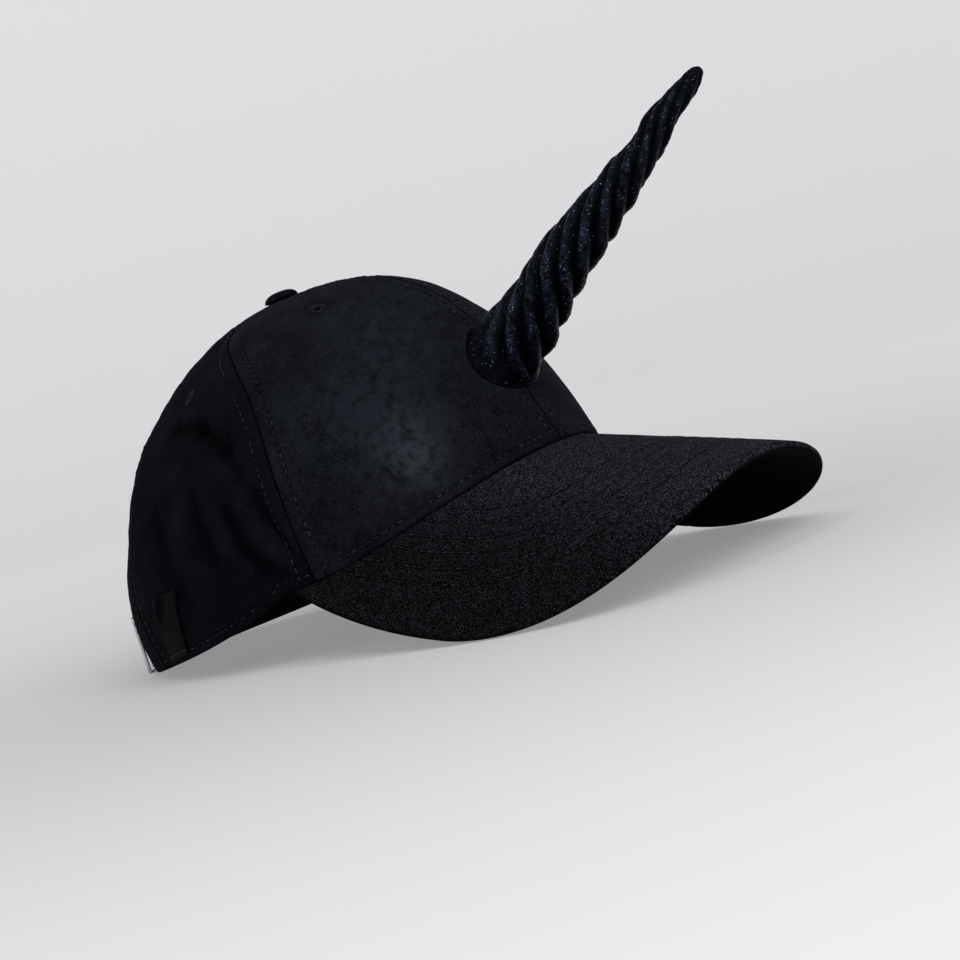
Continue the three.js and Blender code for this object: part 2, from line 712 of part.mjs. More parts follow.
// The origin is under the middle of the whole cap, on the plane it stands on
const unicornCap = new THREE.Group();
unicornCap.add(cap);
unicornCap.updateMatrixWorld(true);
const reach = new THREE.Box3().setFromObject(unicornCap, true);
unicornCap.position.set(-(reach.min.x + reach.max.x) / 2, -(reach.min.y + reach.max.y) / 2, -reach.min.z);

export default unicornCap;
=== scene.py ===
import math

import bpy
import bmesh
import numpy as np
from mathutils import Matrix, Vector


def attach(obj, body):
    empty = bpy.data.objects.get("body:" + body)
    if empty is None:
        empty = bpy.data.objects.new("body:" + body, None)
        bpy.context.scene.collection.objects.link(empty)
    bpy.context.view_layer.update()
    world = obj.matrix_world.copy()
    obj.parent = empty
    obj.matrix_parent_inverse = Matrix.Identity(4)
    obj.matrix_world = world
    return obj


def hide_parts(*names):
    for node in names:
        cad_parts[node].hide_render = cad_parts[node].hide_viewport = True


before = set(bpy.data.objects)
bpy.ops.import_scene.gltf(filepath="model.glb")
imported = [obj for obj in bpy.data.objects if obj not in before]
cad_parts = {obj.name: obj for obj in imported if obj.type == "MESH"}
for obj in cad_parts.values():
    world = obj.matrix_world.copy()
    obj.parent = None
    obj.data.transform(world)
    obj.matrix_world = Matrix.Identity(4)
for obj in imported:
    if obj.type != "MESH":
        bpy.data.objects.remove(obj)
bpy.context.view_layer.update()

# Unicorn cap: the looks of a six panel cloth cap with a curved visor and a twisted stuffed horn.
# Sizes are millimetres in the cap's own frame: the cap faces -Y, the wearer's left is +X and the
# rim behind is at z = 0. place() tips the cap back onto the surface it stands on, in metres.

bpy.ops.object.select_all(action="DESELECT")

# Sizes of the cap, as in the solids
CROWN_HALF_WIDTH = 76.5
CROWN_FRONT = 101.0
CROWN_BACK = 113.5
CROWN_HEIGHT = 113.5
CLOTH_WALL = 2.0
PIECE_GAP = 0.4
SIDE_SEAM = 71.0
REAR_SEAM = 124.0
SIDE_SEAM_BOW = 54.0
FOLD_DEPTH = 3.0
CROWN_HOLE = 3.0
ARCH_WIDTH = 106.0
ARCH_HEIGHT = 54.0
STRAP_WIDTH = 20.0
STRAP_THICKNESS = 1.8
STRAP_DROP = 2.4
STRAP_END = 13.0
BAND_HEIGHT = 30.0
BAND_THICKNESS = 1.5
VISOR_LENGTH = 82.0
VISOR_RADIUS = 88.5
VISOR_SLOPE = math.radians(19.4)
VISOR_END_ANGLE = 80.0
VISOR_END_HEIGHT = 10.3
VISOR_WING = 9.5
VISOR_THICKNESS = 3.4
FRONT_CURVE = 2.9
FRONT_POWER = 1.78
BACK_POWER = 2.1
HORN_LENGTH = 132.0
HORN_RADIUS = 15.0
HORN_RISE = math.radians(27.2)
HORN_PLACE = 0.332
HORN_LEAD = 88.0
HORN_RIBS = 7
LABEL_WIDTH = 14.5
LABEL_HEIGHT = 22.5
LABEL_THICKNESS = 0.7
LABEL_LEAN = 7.0
LABEL_ANGLE = -114.0

# How the cap rests
REST_TILT = 0.1387871468911513
REST_SHIFT = np.array([0.05743, 38.84775, 12.92668])

# Meridians of the crown at four bearings from the front: lean in degrees, handles as shares
CROWN_ROWS = {
    "lean": [-24.0, 7.0, 16.0, -1.5],
    "low": [0.35, 0.85, 0.53, 0.385],
    "high": [0.92, 0.35, 0.57, 0.43],
}
ROW_STEP = 60.0

# Folds of the soft panels: side, start, end, width, depth. Places are (across, up): across is
# 0 at the side seam, 1 at the rear seam and 2 at the centre of the back, up is a share.
BROAD_FOLDS = [
    (-1, (0.62, 0.54), (0.36, 0.36), 0.13, -0.75),
    (-1, (0.36, 0.36), (0.14, 0.24), 0.10, -0.60),
    (-1, (0.26, 0.20), (0.20, 0.05), 0.06, -1.00),
    (-1, (0.34, 0.20), (0.30, 0.06), 0.07, 0.60),
    (-1, (0.46, 0.27), (0.40, 0.08), 0.08, -0.50),
    (-1, (0.76, 0.33), (0.62, 0.22), 0.09, -0.50),
    (-1, (0.88, 0.50), (0.80, 0.12), 0.10, 0.45),
    (-1, (0.03, 0.60), (0.03, 0.88), 0.30, -0.25),
    (-1, (1.30, 0.62), (1.18, 0.30), 0.14, -0.60),
    (1, (0.60, 0.50), (0.34, 0.34), 0.14, -0.60),
    (1, (0.24, 0.20), (0.20, 0.06), 0.07, -0.80),
    (1, (0.80, 0.34), (0.62, 0.16), 0.10, -0.50),
    (1, (0.03, 0.60), (0.03, 0.88), 0.30, -0.22),
    (1, (1.34, 0.60), (1.20, 0.34), 0.14, -0.60),
]

# Sharper creases on the soft panels: side, start, end, width, depth in millimetres
FINE_FOLDS = [
    (-1, (0.26, 0.185), (0.235, 0.105), 0.022, -2.3),
    (-1, (0.235, 0.105), (0.18, 0.052), 0.022, -2.3),
    (-1, (0.18, 0.052), (0.10, 0.022), 0.022, -1.5),
    (-1, (0.115, 0.185), (0.093, 0.135), 0.018, -1.6),
    (-1, (0.093, 0.135), (0.045, 0.065), 0.018, -2.0),
    (-1, (0.185, 0.165), (0.155, 0.10), 0.026, 1.3),
    (-1, (0.155, 0.10), (0.10, 0.052), 0.022, 1.3),
    (-1, (0.315, 0.19), (0.295, 0.12), 0.032, 1.3),
    (-1, (0.295, 0.12), (0.245, 0.06), 0.028, 1.2),
    (-1, (0.42, 0.26), (0.38, 0.125), 0.036, -1.8),
    (-1, (0.50, 0.34), (0.47, 0.14), 0.050, 1.2),
    (-1, (0.56, 0.50), (0.335, 0.415), 0.045, -1.9),
    (-1, (0.335, 0.415), (0.20, 0.292), 0.040, -2.2),
    (-1, (0.20, 0.292), (0.15, 0.215), 0.030, -1.4),
    (-1, (0.42, 0.38), (0.25, 0.26), 0.045, 1.5),
    (-1, (0.66, 0.30), (0.59, 0.10), 0.050, -1.2),
    (-1, (0.26, 0.015), (0.15, 0.004), 0.020, 1.0),
    (-1, (0.10, 0.64), (0.10, 0.86), 0.200, -0.3),
    (1, (0.56, 0.48), (0.34, 0.38), 0.042, -1.9),
    (1, (0.34, 0.38), (0.22, 0.28), 0.036, -1.7),
    (1, (0.28, 0.21), (0.22, 0.11), 0.024, -2.1),
    (1, (0.22, 0.11), (0.12, 0.04), 0.022, -1.8),
    (1, (0.21, 0.20), (0.15, 0.11), 0.030, 1.2),
    (1, (0.44, 0.28), (0.38, 0.11), 0.040, -1.5),
    (1, (0.72, 0.34), (0.62, 0.12), 0.055, -1.1),
    (1, (0.10, 0.64), (0.10, 0.86), 0.200, -0.3),
]

# Panels: name, CAD node, first and last bearing, place of the eyelet (across, up)
PANELS = [
    ("front_cloth_left", "panel_front_left", 0.0, SIDE_SEAM, (0.50, 0.625)),
    ("side_cloth_left", "panel_side_left", SIDE_SEAM, REAR_SEAM, (0.41, 0.555)),
    ("back_cloth_left", "panel_back_left", REAR_SEAM, 180.0, (0.50, 0.56)),
    ("front_cloth_right", "panel_front_right", -SIDE_SEAM, 0.0, (0.50, 0.625)),
    ("side_cloth_right", "panel_side_right", -REAR_SEAM, -SIDE_SEAM, (0.59, 0.555)),
    ("back_cloth_right", "panel_back_right", -180.0, -REAR_SEAM, (0.50, 0.56)),
]

# Stitching
SEAM_STITCH = 3.3
SIDE_SEAM_STITCH = 5.2
RIM_STITCH = 3.3
ARCH_STITCH = 5.0
STITCH_PITCH = 3.2
STITCH_LENGTH = 2.5
THREAD = 0.42
VISOR_ROW_MARGINS = np.array([19.3, 25.4, 31.5, 37.3, 43.8, 50.4])

# View
CAMERA_AZIMUTH = math.radians(-47.185)
CAMERA_ELEVATION = math.radians(-2.0)
CAMERA_ROLL = math.radians(-21.525)
CAMERA_DISTANCE = 995.1
CAMERA_FOCAL = 2642.56
CAMERA_ACROSS = -135.6
CAMERA_UP = -21.6
IMAGE_SIZE = 960.0
SENSOR_WIDTH = 36


# Form of the cap

def turned(points):
    """Points of the cap's frame, tipped back as it rests, in millimetres."""
    points = np.asarray(points, float)
    c, s = math.cos(REST_TILT), math.sin(REST_TILT)
    x, y, z = points[..., 0], points[..., 1], points[..., 2]
    return np.stack([x, c * y + s * z, -s * y + c * z], -1)


def place(points):
    """Points of the cap's frame in the row's frame, in metres."""
    return (turned(points) + REST_SHIFT) / 1000.0


def pushed(points, normal, amount):
    return points + normal * amount[..., None]


def unit(vectors):
    length = np.linalg.norm(vectors, axis=-1, keepdims=True)
    return vectors / np.maximum(length, 1e-9)


def smooth(value, low, high):
    share = np.clip((value - low) / (high - low), 0, 1)
    return share * share * (3 - 2 * share)


def bell(distance, width):
    return np.exp(-(distance / width) ** 2)


def solve(low, high, value):
    """Where each of many functions crosses zero between low and high."""
    low, high = np.broadcast_arrays(np.asarray(low, float), np.asarray(high, float))
    low, high = low.copy(), high.copy()
    start = np.sign(value(low))
    for _ in range(36):
        middle = (low + high) / 2
        same = np.sign(value(middle)) == start
        low = np.where(same, middle, low)
        high = np.where(same, high, middle)
    return (low + high) / 2


def rim_plan(bearing):
    angle = np.radians(bearing)
    depth = np.where(np.cos(angle) > 0, CROWN_FRONT, CROWN_BACK)
    return CROWN_HALF_WIDTH * np.sin(angle), -depth * np.cos(angle)


def visor_fall(x):
    share = np.clip(x / VISOR_RADIUS, -0.995, 0.995)
    return VISOR_RADIUS * (1 - np.sqrt(1 - share * share))


def sloped_fall(x, y):
    return math.tan(VISOR_SLOPE) * (y + CROWN_FRONT) - visor_fall(x) / math.cos(VISOR_SLOPE)


END_X, END_Y = (float(v) for v in rim_plan(VISOR_END_ANGLE))
VISOR_LIFT = VISOR_END_HEIGHT - float(sloped_fall(END_X, END_Y))


def visor_top(x, y):
    return VISOR_LIFT + sloped_fall(x, y)


def turn_of(bearing):
    return np.abs(np.mod(np.asarray(bearing, float) + 180, 360) - 180)


def rim_height(bearing):
    turn = turn_of(bearing)
    on_visor = visor_top(*rim_plan(np.minimum(turn, VISOR_END_ANGLE)))
    before = visor_top(*rim_plan(VISOR_END_ANGLE - 0.1))
    steepness = (VISOR_END_HEIGHT - before) / math.radians(0.1)
    past = np.radians(np.maximum(turn - VISOR_END_ANGLE, 0))
    behind = VISOR_END_HEIGHT * np.exp(-past / 0.25) + steepness * past * np.exp(-past / 0.14)
    return np.where(turn <= VISOR_END_ANGLE, on_visor, behind)


def crown_value(bearing, key):
    values = np.array(CROWN_ROWS[key])
    turn = turn_of(bearing)
    row = np.minimum(np.floor(turn / ROW_STEP).astype(int), 2)
    share = turn / ROW_STEP - row
    order = np.array([1, 0, 1, 2, 3, 2])
    a, b, c, d = (values[order[row + k]] for k in range(4))
    square = (2 * a - 5 * b + 4 * c - d) * share ** 2
    cube = (3 * b - a - 3 * c + d) * share ** 3
    return 0.5 * (2 * b + (c - a) * share + square + cube)


def meridian(bearing, share):
    """The crown's smooth outer face at a bearing and a share of the way to the top."""
    bearing, share = np.broadcast_arrays(np.asarray(bearing, float), np.asarray(share, float))
    x, y = rim_plan(bearing)
    reach = np.hypot(x, y)
    foot = rim_height(bearing)
    lean = np.radians(crown_value(bearing, "lean"))
    handle = crown_value(bearing, "low") * (CROWN_HEIGHT - foot)
    low_reach = reach + np.sin(lean) * handle
    low_height = foot + np.cos(lean) * handle
    high_reach = crown_value(bearing, "high") * reach
    rest = 1 - share
    w0, w1, w2, w3 = rest ** 3, 3 * share * rest ** 2, 3 * share ** 2 * rest, share ** 3
    distance = w0 * reach + w1 * low_reach + w2 * high_reach
    height = w0 * foot + w1 * low_height + (w2 + w3) * CROWN_HEIGHT
    return np.stack([x / reach * distance, y / reach * distance, height], -1)


def crown_normal(bearing, share):
    step = 0.02
    low = np.minimum(share, 1 - 2 * step)
    across = meridian(bearing + 0.5, low) - meridian(bearing - 0.5, low)
    along = meridian(bearing, low + step) - meridian(bearing, np.maximum(low - step, 0))
    return unit(np.cross(across, along))


def seam_bearing(base, share):
    if abs(base) != SIDE_SEAM:
        return base + 0 * share
    up = np.clip((share - 0.25) / 0.75, 0, 1)
    return base + math.copysign(1, base) * SIDE_SEAM_BOW * up ** 2 * (1 - up ** 6)


def panel_place(bearing, share):
    """Where a point lies between the seams: 0 side seam, 1 rear seam, 2 centre of the back."""
    turn = np.abs(bearing)
    seam = seam_bearing(SIDE_SEAM, share)
    on_side = (turn - seam) / (REAR_SEAM - seam)
    on_back = 1 + (turn - REAR_SEAM) / (180 - REAR_SEAM)
    return np.where(turn < REAR_SEAM, on_side, on_back), turn >= seam


def fold_height(bearing, share, folds, sharp=1.2):
    across, soft = panel_place(bearing, share)
    side = np.sign(bearing)
    height = np.zeros(np.shape(across))
    for fold_side, start, end, width, depth in folds:
        a = np.array([start[0], start[1] * 2])
        line = np.array([end[0], end[1] * 2]) - a
        dx, dy = across - a[0], share * 2 - a[1]
        along = np.clip((dx * line[0] + dy * line[1]) / (line @ line), 0, 1)
        away = np.hypot(dx - along * line[0], dy - along * line[1]) / (width * sharp)
        height = height + np.where(side == fold_side, depth * np.exp(-away * away), 0)
    return np.where(soft, height * smooth(across, 0, 0.25 * np.clip(share, 0.24, 1)), 0)


def share_at_height(bearing, height):
    level = rim_height(bearing) + height
    return solve(np.zeros(np.shape(level)), 0.9, lambda s: meridian(bearing, s)[..., 2] - level)


def share_at_reach(bearing, reach):
    def value(share):
        point = meridian(bearing, share)
        return np.hypot(point[..., 0], point[..., 1]) - reach
    return solve(0.5 * np.ones(np.shape(bearing)), 1.0, value)


def crown_place(points):
    """Bearing and share of points that lie near the crown."""
    x, y, z = points[..., 0], points[..., 1], points[..., 2]
    depth = np.where(y < 0, CROWN_FRONT, CROWN_BACK)
    bearing = np.degrees(np.arctan2(x / CROWN_HALF_WIDTH, -y / depth))
    share = solve(np.zeros(z.shape), 1.0, lambda s: meridian(bearing, s)[..., 2] - z)
    return bearing, share


def rim_angle(length, bearing):
    x1, y1 = rim_plan(bearing - 0.5)
    x2, y2 = rim_plan(bearing + 0.5)
    return length / float(np.hypot(x2 - x1, y2 - y1))


ARCH_HALF = math.degrees(math.asin(ARCH_WIDTH / 2 / CROWN_HALF_WIDTH))
ARCH_CORNER = 180 - ARCH_HALF


def arch_share(bearing):
    across = np.clip((180 - np.abs(bearing)) / ARCH_HALF, 0, 1)
    height = ARCH_HEIGHT * np.sqrt(1 - across * across)
    return np.where(across < 1, share_at_height(bearing, height), 0)


def foot_share(bearing, inset):
    """The lowest share at which the cloth, at a depth behind its face, clears the visor."""
    def value(share):
        point = meridian(bearing, share) - crown_normal(bearing, share) * inset
        return point[..., 2] - visor_top(point[..., 0], point[..., 1]) - 0.3
    found = solve(np.zeros(np.shape(bearing)), 0.3, value)
    return np.where(np.abs(bearing) > VISOR_END_ANGLE, 0, found)


def noise(points, size, seed):
    """Smooth noise from -1 to 1, as sums of waves that run in scattered directions."""
    draw = np.random.default_rng(seed)
    total = np.zeros(points.shape[:-1])
    for _ in range(14):
        wave = unit(draw.normal(size=3)) * 2 * math.pi / (size * draw.uniform(0.7, 1.5))
        total += np.sin(points @ wave + draw.uniform(0, 2 * math.pi))
    return total / 5.0


# Building meshes

def added(name, data):
    """A new object of the scene that holds a mesh, a lamp or a camera."""
    piece = bpy.data.objects.new(name, data)
    bpy.context.collection.objects.link(piece)
    return piece


def mesh_piece(name, points, faces, uv=None, marks=None):
    """A piece from points of the cap's frame. uv holds one place for each face corner, marks
    named distances in millimetres for each point."""
    mesh = bpy.data.meshes.new(name)
    mesh.from_pydata(place(points).tolist(), [], [tuple(face) for face in faces])
    if uv is not None:
        layer = mesh.uv_layers.new(name="cloth")
        layer.data.foreach_set("uv", np.asarray(uv, np.float32).ravel())
    for key, values in (marks or {}).items():
        layer = mesh.attributes.new(key, "FLOAT", "POINT")
        layer.data.foreach_set("value", np.asarray(values, np.float32).ravel())
    mesh.update()
    mesh.shade_smooth()
    return added(name, mesh)


def weld(piece, distance=2e-6):
    """Joins doubled corners and drops faces with no area."""
    shape = bmesh.new()
    shape.from_mesh(piece.data)
    bmesh.ops.remove_doubles(shape, verts=shape.verts, dist=distance)
    bmesh.ops.dissolve_degenerate(shape, edges=shape.edges, dist=distance)
    shape.to_mesh(piece.data)
    shape.free()
    piece.data.update()
    piece.data.shade_smooth()
    return piece


def lengths(grid, axis):
    """Distance along the rows or columns of a grid of points."""
    steps = np.linalg.norm(np.diff(grid, axis=axis), axis=-1)
    start = np.zeros_like(np.take(steps, [0], axis=axis))
    return np.concatenate([start, np.cumsum(steps, axis=axis)], axis=axis)


def edge_distances(grid):
    """Distance of each point from the first and last column and the first and last row."""
    across, along = lengths(grid, 0), lengths(grid, 1)
    return across, across[-1:] - across, along, along[:, -1:] - along


def rounded(distance, reach):
    """0 on an edge and 1 at its reach, on a quarter circle."""
    share = np.clip(distance / reach, 0, 1)
    return np.sqrt(1 - (1 - share) ** 2)


def quad_corners(index):
    """The numbers at the four corners of each cell of a grid."""
    cells = (index[:-1, :-1], index[1:, :-1], index[1:, 1:], index[:-1, 1:])
    return np.stack(cells, -1).reshape(-1, 4)


def rolled_edge(grid, thickness):
    """How full a strip is near its edges, and the distances from its lower and upper edge."""
    left, right, bottom, top = edge_distances(grid)
    gap = np.minimum(np.minimum(left, right), np.minimum(bottom, top))
    return rounded(gap, thickness / 2), bottom, top


def soft_wall(name, outer, inner, uv, marks=None):
    """A closed wall whose two faces meet along all their edges."""
    columns, rows = outer.shape[:2]
    front = np.arange(columns * rows).reshape(columns, rows)
    back = np.full((columns, rows), -1)
    back[0], back[-1] = front[0], front[-1]
    back[:, 0], back[:, -1] = front[:, 0], front[:, -1]
    inside = back < 0
    back[inside] = columns * rows + np.arange(inside.sum())
    points = np.concatenate([outer.reshape(-1, 3), inner[inside]])
    corners = quad_corners(front)
    faces = np.concatenate([corners, quad_corners(back)[:, ::-1]])
    spots = np.concatenate([corners, corners[:, ::-1]])
    kept = {}
    for key, values in (marks or {}).items():
        front_values, back_values = values if isinstance(values, tuple) else (values, values)
        kept[key] = np.concatenate([front_values.ravel(), back_values[inside]])
    return weld(mesh_piece(name, points, faces.tolist(), uv.reshape(-1, 2)[spots.ravel()], kept))


def grid_uv(grid):
    """Cloth places in decimetres, measured along the surface from the middle column."""
    across, along = lengths(grid, 0), lengths(grid, 1)
    middle = grid.shape[0] // 2
    return np.stack([across - across[middle], along], -1) / 100.0


def grid_normal(grid):
    across = np.gradient(grid, axis=0)
    along = np.gradient(grid, axis=1)
    return unit(np.cross(across, along))


def edge_shares(near, total, step):
    """Shares from 0 to 1: given distances from both ends, and even steps between them."""
    near = np.array(near, float)
    middle = np.linspace(near[-1], total - near[-1], max(int((total - 2 * near[-1]) / step), 2) + 1)
    spots = np.concatenate([near[:-1], middle, (total - near[:-1])[::-1]])
    return spots / total


def polyline_distance(points, line):
    """Distance from each point to the nearest stretch of a polyline."""
    flat = points.reshape(-1, 3)
    best = np.full(len(flat), 1e9)
    for a, b in zip(line[:-1], line[1:]):
        step = b - a
        share = np.clip(((flat - a) @ step) / max(step @ step, 1e-12), 0, 1)
        best = np.minimum(best, np.linalg.norm(flat - a - share[:, None] * step, axis=1))
    return best.reshape(points.shape[:-1])


def select_only(piece):
    bpy.ops.object.select_all(action="DESELECT")
    piece.select_set(True)
    bpy.context.view_layer.objects.active = piece


def taken_shape():
    """The x, y and z and the faces of the shape just added, which is then taken away."""
    shape = bpy.context.active_object
    points = np.array([v.co for v in shape.data.vertices])
    faces = [list(p.vertices) for p in shape.data.polygons]
    bpy.data.objects.remove(shape, do_unlink=True)
    return points.T, faces


def stitch_shape():
    """One stitch: a short length of thread, rounded at both ends, along X."""
    bpy.ops.mesh.primitive_uv_sphere_add(segments=6, ring_count=6, radius=0.5)
    bpy.ops.object.mode_set(mode="EDIT")
    bpy.ops.mesh.select_all(action="SELECT")
    bpy.ops.transform.rotate(value=math.pi / 2, orient_axis="Y", center_override=(0, 0, 0))
    bpy.ops.object.mode_set(mode="OBJECT")
    (x, y, z), faces = taken_shape()
    full = np.sign(x) * (np.abs(x) * 2) ** 0.55 / 2
    return (full * STITCH_LENGTH, y * (THREAD * 1.15), z * THREAD), faces


STITCH_POINTS, STITCH_FACES = stitch_shape()


def resample(line, normals, pitch):
    """Evenly spaced places on a polyline, with the direction and normal at each."""
    run = lengths(line, 0)
    count = int(run[-1] / pitch)
    spots = (np.arange(count) + 0.5) * run[-1] / max(count, 1)
    def at(values, where):
        return np.stack([np.interp(where, run, values[:, k]) for k in range(3)], -1)
    centre = at(line, spots)
    ahead = unit(at(line, spots + 0.5) - at(line, spots - 0.5))
    normal = at(normals, spots)
    normal = unit(normal - ahead * np.sum(normal * ahead, -1, keepdims=True))
    return centre, ahead, normal


def stitch_rows(name, rows, lift=0.0, pitch=STITCH_PITCH):
    """All the stitches of several rows as one piece. A row is a line of points and normals."""
    draw = np.random.default_rng(len(name))
    points, faces, start = [], [], 0
    along, wide, high = STITCH_POINTS
    sag = -0.16 * (np.abs(along) / (STITCH_LENGTH / 2)) ** 3
    for line, normals in rows:
        for centre, ahead, normal in zip(*resample(line, normals, pitch)):
            side = np.cross(normal, ahead)
            leaning = ahead + side * draw.normal(0, 0.03)
            size = 1 + draw.normal(0, 0.04)
            spot = centre + np.outer(along * size, leaning) + np.outer(wide, side)
            points.append(spot + np.outer(high + sag + lift, normal))
            faces.extend([[i + start for i in face] for face in STITCH_FACES])
            start += len(along)
    return mesh_piece(name, np.concatenate(points), faces)


# Crown panels

LEAST_WALL = 0.45
WALL_EASE = 0.18
PANEL_LENGTH = 150.0
NEAR = [
    0, 0.04, 0.16, 0.36, 0.6, 0.9, 1.3, 1.8, 2.3, 2.7, 3.1, 3.5, 3.9, 4.35, 4.8, 5.2, 5.6, 6.0, 6.4,
    6.9, 7.6,
]
HEM = [0, 0.05, 0.2, 0.45, 0.75, 1.1, 1.6, 2.2, 2.7, 3.1, 3.5, 4.0, 4.7, 5.6]


def seam_stitch(bearing):
    """How far the row of stitches runs from the seam at this bearing."""
    return SIDE_SEAM_STITCH if abs(bearing) == SIDE_SEAM else SEAM_STITCH


def panel_shares(first, last):
    """Columns of a panel as shares of its width, close together along its seams."""
    width = 1.45 * abs(last - first)
    shares = edge_shares(NEAR, width, 1.15)
    if abs(first) != 180 and abs(last) != 180:
        return shares
    corner = (ARCH_CORNER - REAR_SEAM) / (180 - REAR_SEAM)
    bend = corner + (1 - corner) * (1 - np.cos(np.linspace(0, math.pi / 2, 64)))
    plain = np.array(NEAR) / width
    before = np.linspace(plain[-1], corner, 10)[1:-1]
    close = (1 - plain)[::-1]
    shares = np.concatenate([plain, before, bend[bend < close[0] - 0.004], close])
    return shares if last == 180 else 1 - shares[::-1]


def panel_rows():
    """Rows of a panel as shares of its height, close together along the hem and the top."""
    low = np.array(HEM)
    top = PANEL_LENGTH - np.array([4.0, 2.5, 1.4, 0.7, 0.3, 0.1, 0])
    middle = np.linspace(low[-1], top[0], int((top[0] - low[-1]) / 0.95))
    return np.concatenate([low[:-1], middle, top[1:]]) / PANEL_LENGTH


def along_ripple(run):
    """1 where a stitch dips into the cloth and 0 half way to the next one."""
    return 0.5 + 0.5 * np.cos(2 * math.pi * run / STITCH_PITCH)


def panel_grid(first, last):
    """Bearings and shares of a panel's grid."""
    t = panel_shares(first, last)[:, None]
    r = panel_rows()[None, :]
    plain = first + (last - first) * t
    foot = foot_share(plain, CLOTH_WALL / 2)
    top = share_at_reach(plain, CROWN_HOLE)
    share = np.maximum(foot, arch_share(plain))
    share = share + (top - share) * r
    left, right = seam_bearing(first, share), seam_bearing(last, share)
    return left + (right - left) * t, share


def panel_cloth(name, node, first, last, eyelet):
    """One panel: a wall of cloth with sewn seams, a turned hem and its folds."""
    bearing, share = panel_grid(first, last)
    base = meridian(bearing, share)
    normal = crown_normal(bearing, share)
    middle = base - normal * CLOTH_WALL / 2
    left, right, low, high = edge_distances(middle)
    if abs(first) == 180 or abs(last) == 180:
        low = polyline_distance(middle, middle[:, 0])
    seam = np.minimum(left, right)
    row_gap = np.where(left <= right, seam_stitch(first), seam_stitch(last))
    along = lengths(middle, 1)
    edge = np.minimum(rounded(seam, 0.55), rounded(np.minimum(low, high), 1.0))
    # Seams: a raised strip over the turned edges, and a row of stitches drawn into the cloth
    pull = 0.55 + 0.45 * along_ripple(along)
    swell = 0.24 * smooth(row_gap + 2.1 - seam, 0, 2) * smooth(seam, 0.1, 1.2)
    groove = -0.42 * bell(seam - row_gap, 0.5) * pull
    rim_pull = 0.55 + 0.45 * along_ripple(lengths(middle, 0))
    line = ARCH_STITCH if "back" in name else RIM_STITCH
    groove = groove - 0.4 * bell(low - line, 0.5) * rim_pull
    pucker = 0.10 * np.sin(along * 2 * math.pi / 9.0 + 2 * noise(base, 30, 5)) * smooth(-seam, -9, -2)
    # Folds: the whole wall moves high up, and low down only its outer face
    inner_part = smooth(share, 0.2, 0.32)
    outer_part = 0.42 + 0.58 * inner_part
    eased = smooth(share, 0, 0.03) * (1 - smooth(share, 0.85, 0.95))
    folds = FOLD_DEPTH * fold_height(bearing, share, BROAD_FOLDS) * eased
    fine = fold_height(bearing, share, FINE_FOLDS, 1.0) * smooth(share, 0.01, 0.05) * smooth(seam, 0, 2)
    soft = 0.12 if "front" in name else 0.34
    wander = soft * noise(base, 26, 11) + 0.3 * soft * noise(base, 9, 12)
    wander = wander * smooth(seam, 0, 6) * smooth(low, 0, 8) * smooth(high, 0, 12)
    drop = -0.22 * bell(low, 1.6)
    outer_move = folds * outer_part + fine + wander + swell + groove + pucker + drop
    inner_move = (folds + wander + 0.9 * fine) * inner_part
    meet = folds * inner_part
    # The outer face never sinks through the inner one
    deepest = inner_move - (CLOTH_WALL - LEAST_WALL)
    outer_move = deepest + WALL_EASE * np.logaddexp(0, (outer_move - deepest) / WALL_EASE)
    half = CLOTH_WALL / 2
    fade = smooth(edge, 0.0, 0.9)
    outer = pushed(middle, normal, meet + edge * half + (outer_move - meet) * fade)
    inner = pushed(middle, normal, meet - edge * half + (inner_move - meet) * fade)
    # Painted shade and light: the creases are painted darker and the ridges between them paler
    fold_shading = fine * (0.8 - 0.3 * (fine > 0)) + 0.15 * folds
    marks = {
        "seam_gap": seam,
        "stitch_gap": np.minimum(np.abs(seam - row_gap), np.abs(low - line)),
        "painted_shading_tone": (np.clip(1.08 + 0.41 * fold_shading, 0.38, 1.8), np.ones(seam.shape)),
    }
    piece = soft_wall(name, outer, inner, grid_uv(middle), marks)
    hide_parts(node)
    return {
        "piece": piece, "outer": outer, "left": left, "right": right, "low": low,
        "share": share, "bearing": bearing, "eyelet": eyelet, "name": name,
        "left_row": seam_stitch(first), "right_row": seam_stitch(last),
    }


def crossing_rows(grid, distance, level, axis):
    """The line on a grid at which a distance reaches a level, column by column or row by row."""
    points, normals = [], []
    normal = grid_normal(grid)
    if axis == 0:
        grid, distance, normal = (np.swapaxes(v, 0, 1) for v in (grid, distance, normal))
    for line, away, facing in zip(grid, distance, normal):
        past = np.nonzero((away[:-1] < level) & (away[1:] >= level))[0]
        back = np.nonzero((away[:-1] >= level) & (away[1:] < level))[0]
        found = past if len(past) else back
        if not len(found):
            continue
        k = found[0]
        share = (level - away[k]) / (away[k + 1] - away[k])
        points.append(line[k] + share * (line[k + 1] - line[k]))
        normals.append(unit(facing[k] + share * (facing[k + 1] - facing[k])))
    return np.array(points), np.array(normals)


def trimmed(row, start, end):
    """A row without its first and last stretch."""
    line, normals = row
    run = lengths(line, 0)
    keep = (run >= start) & (run <= run[-1] - end)
    return line[keep], normals[keep]


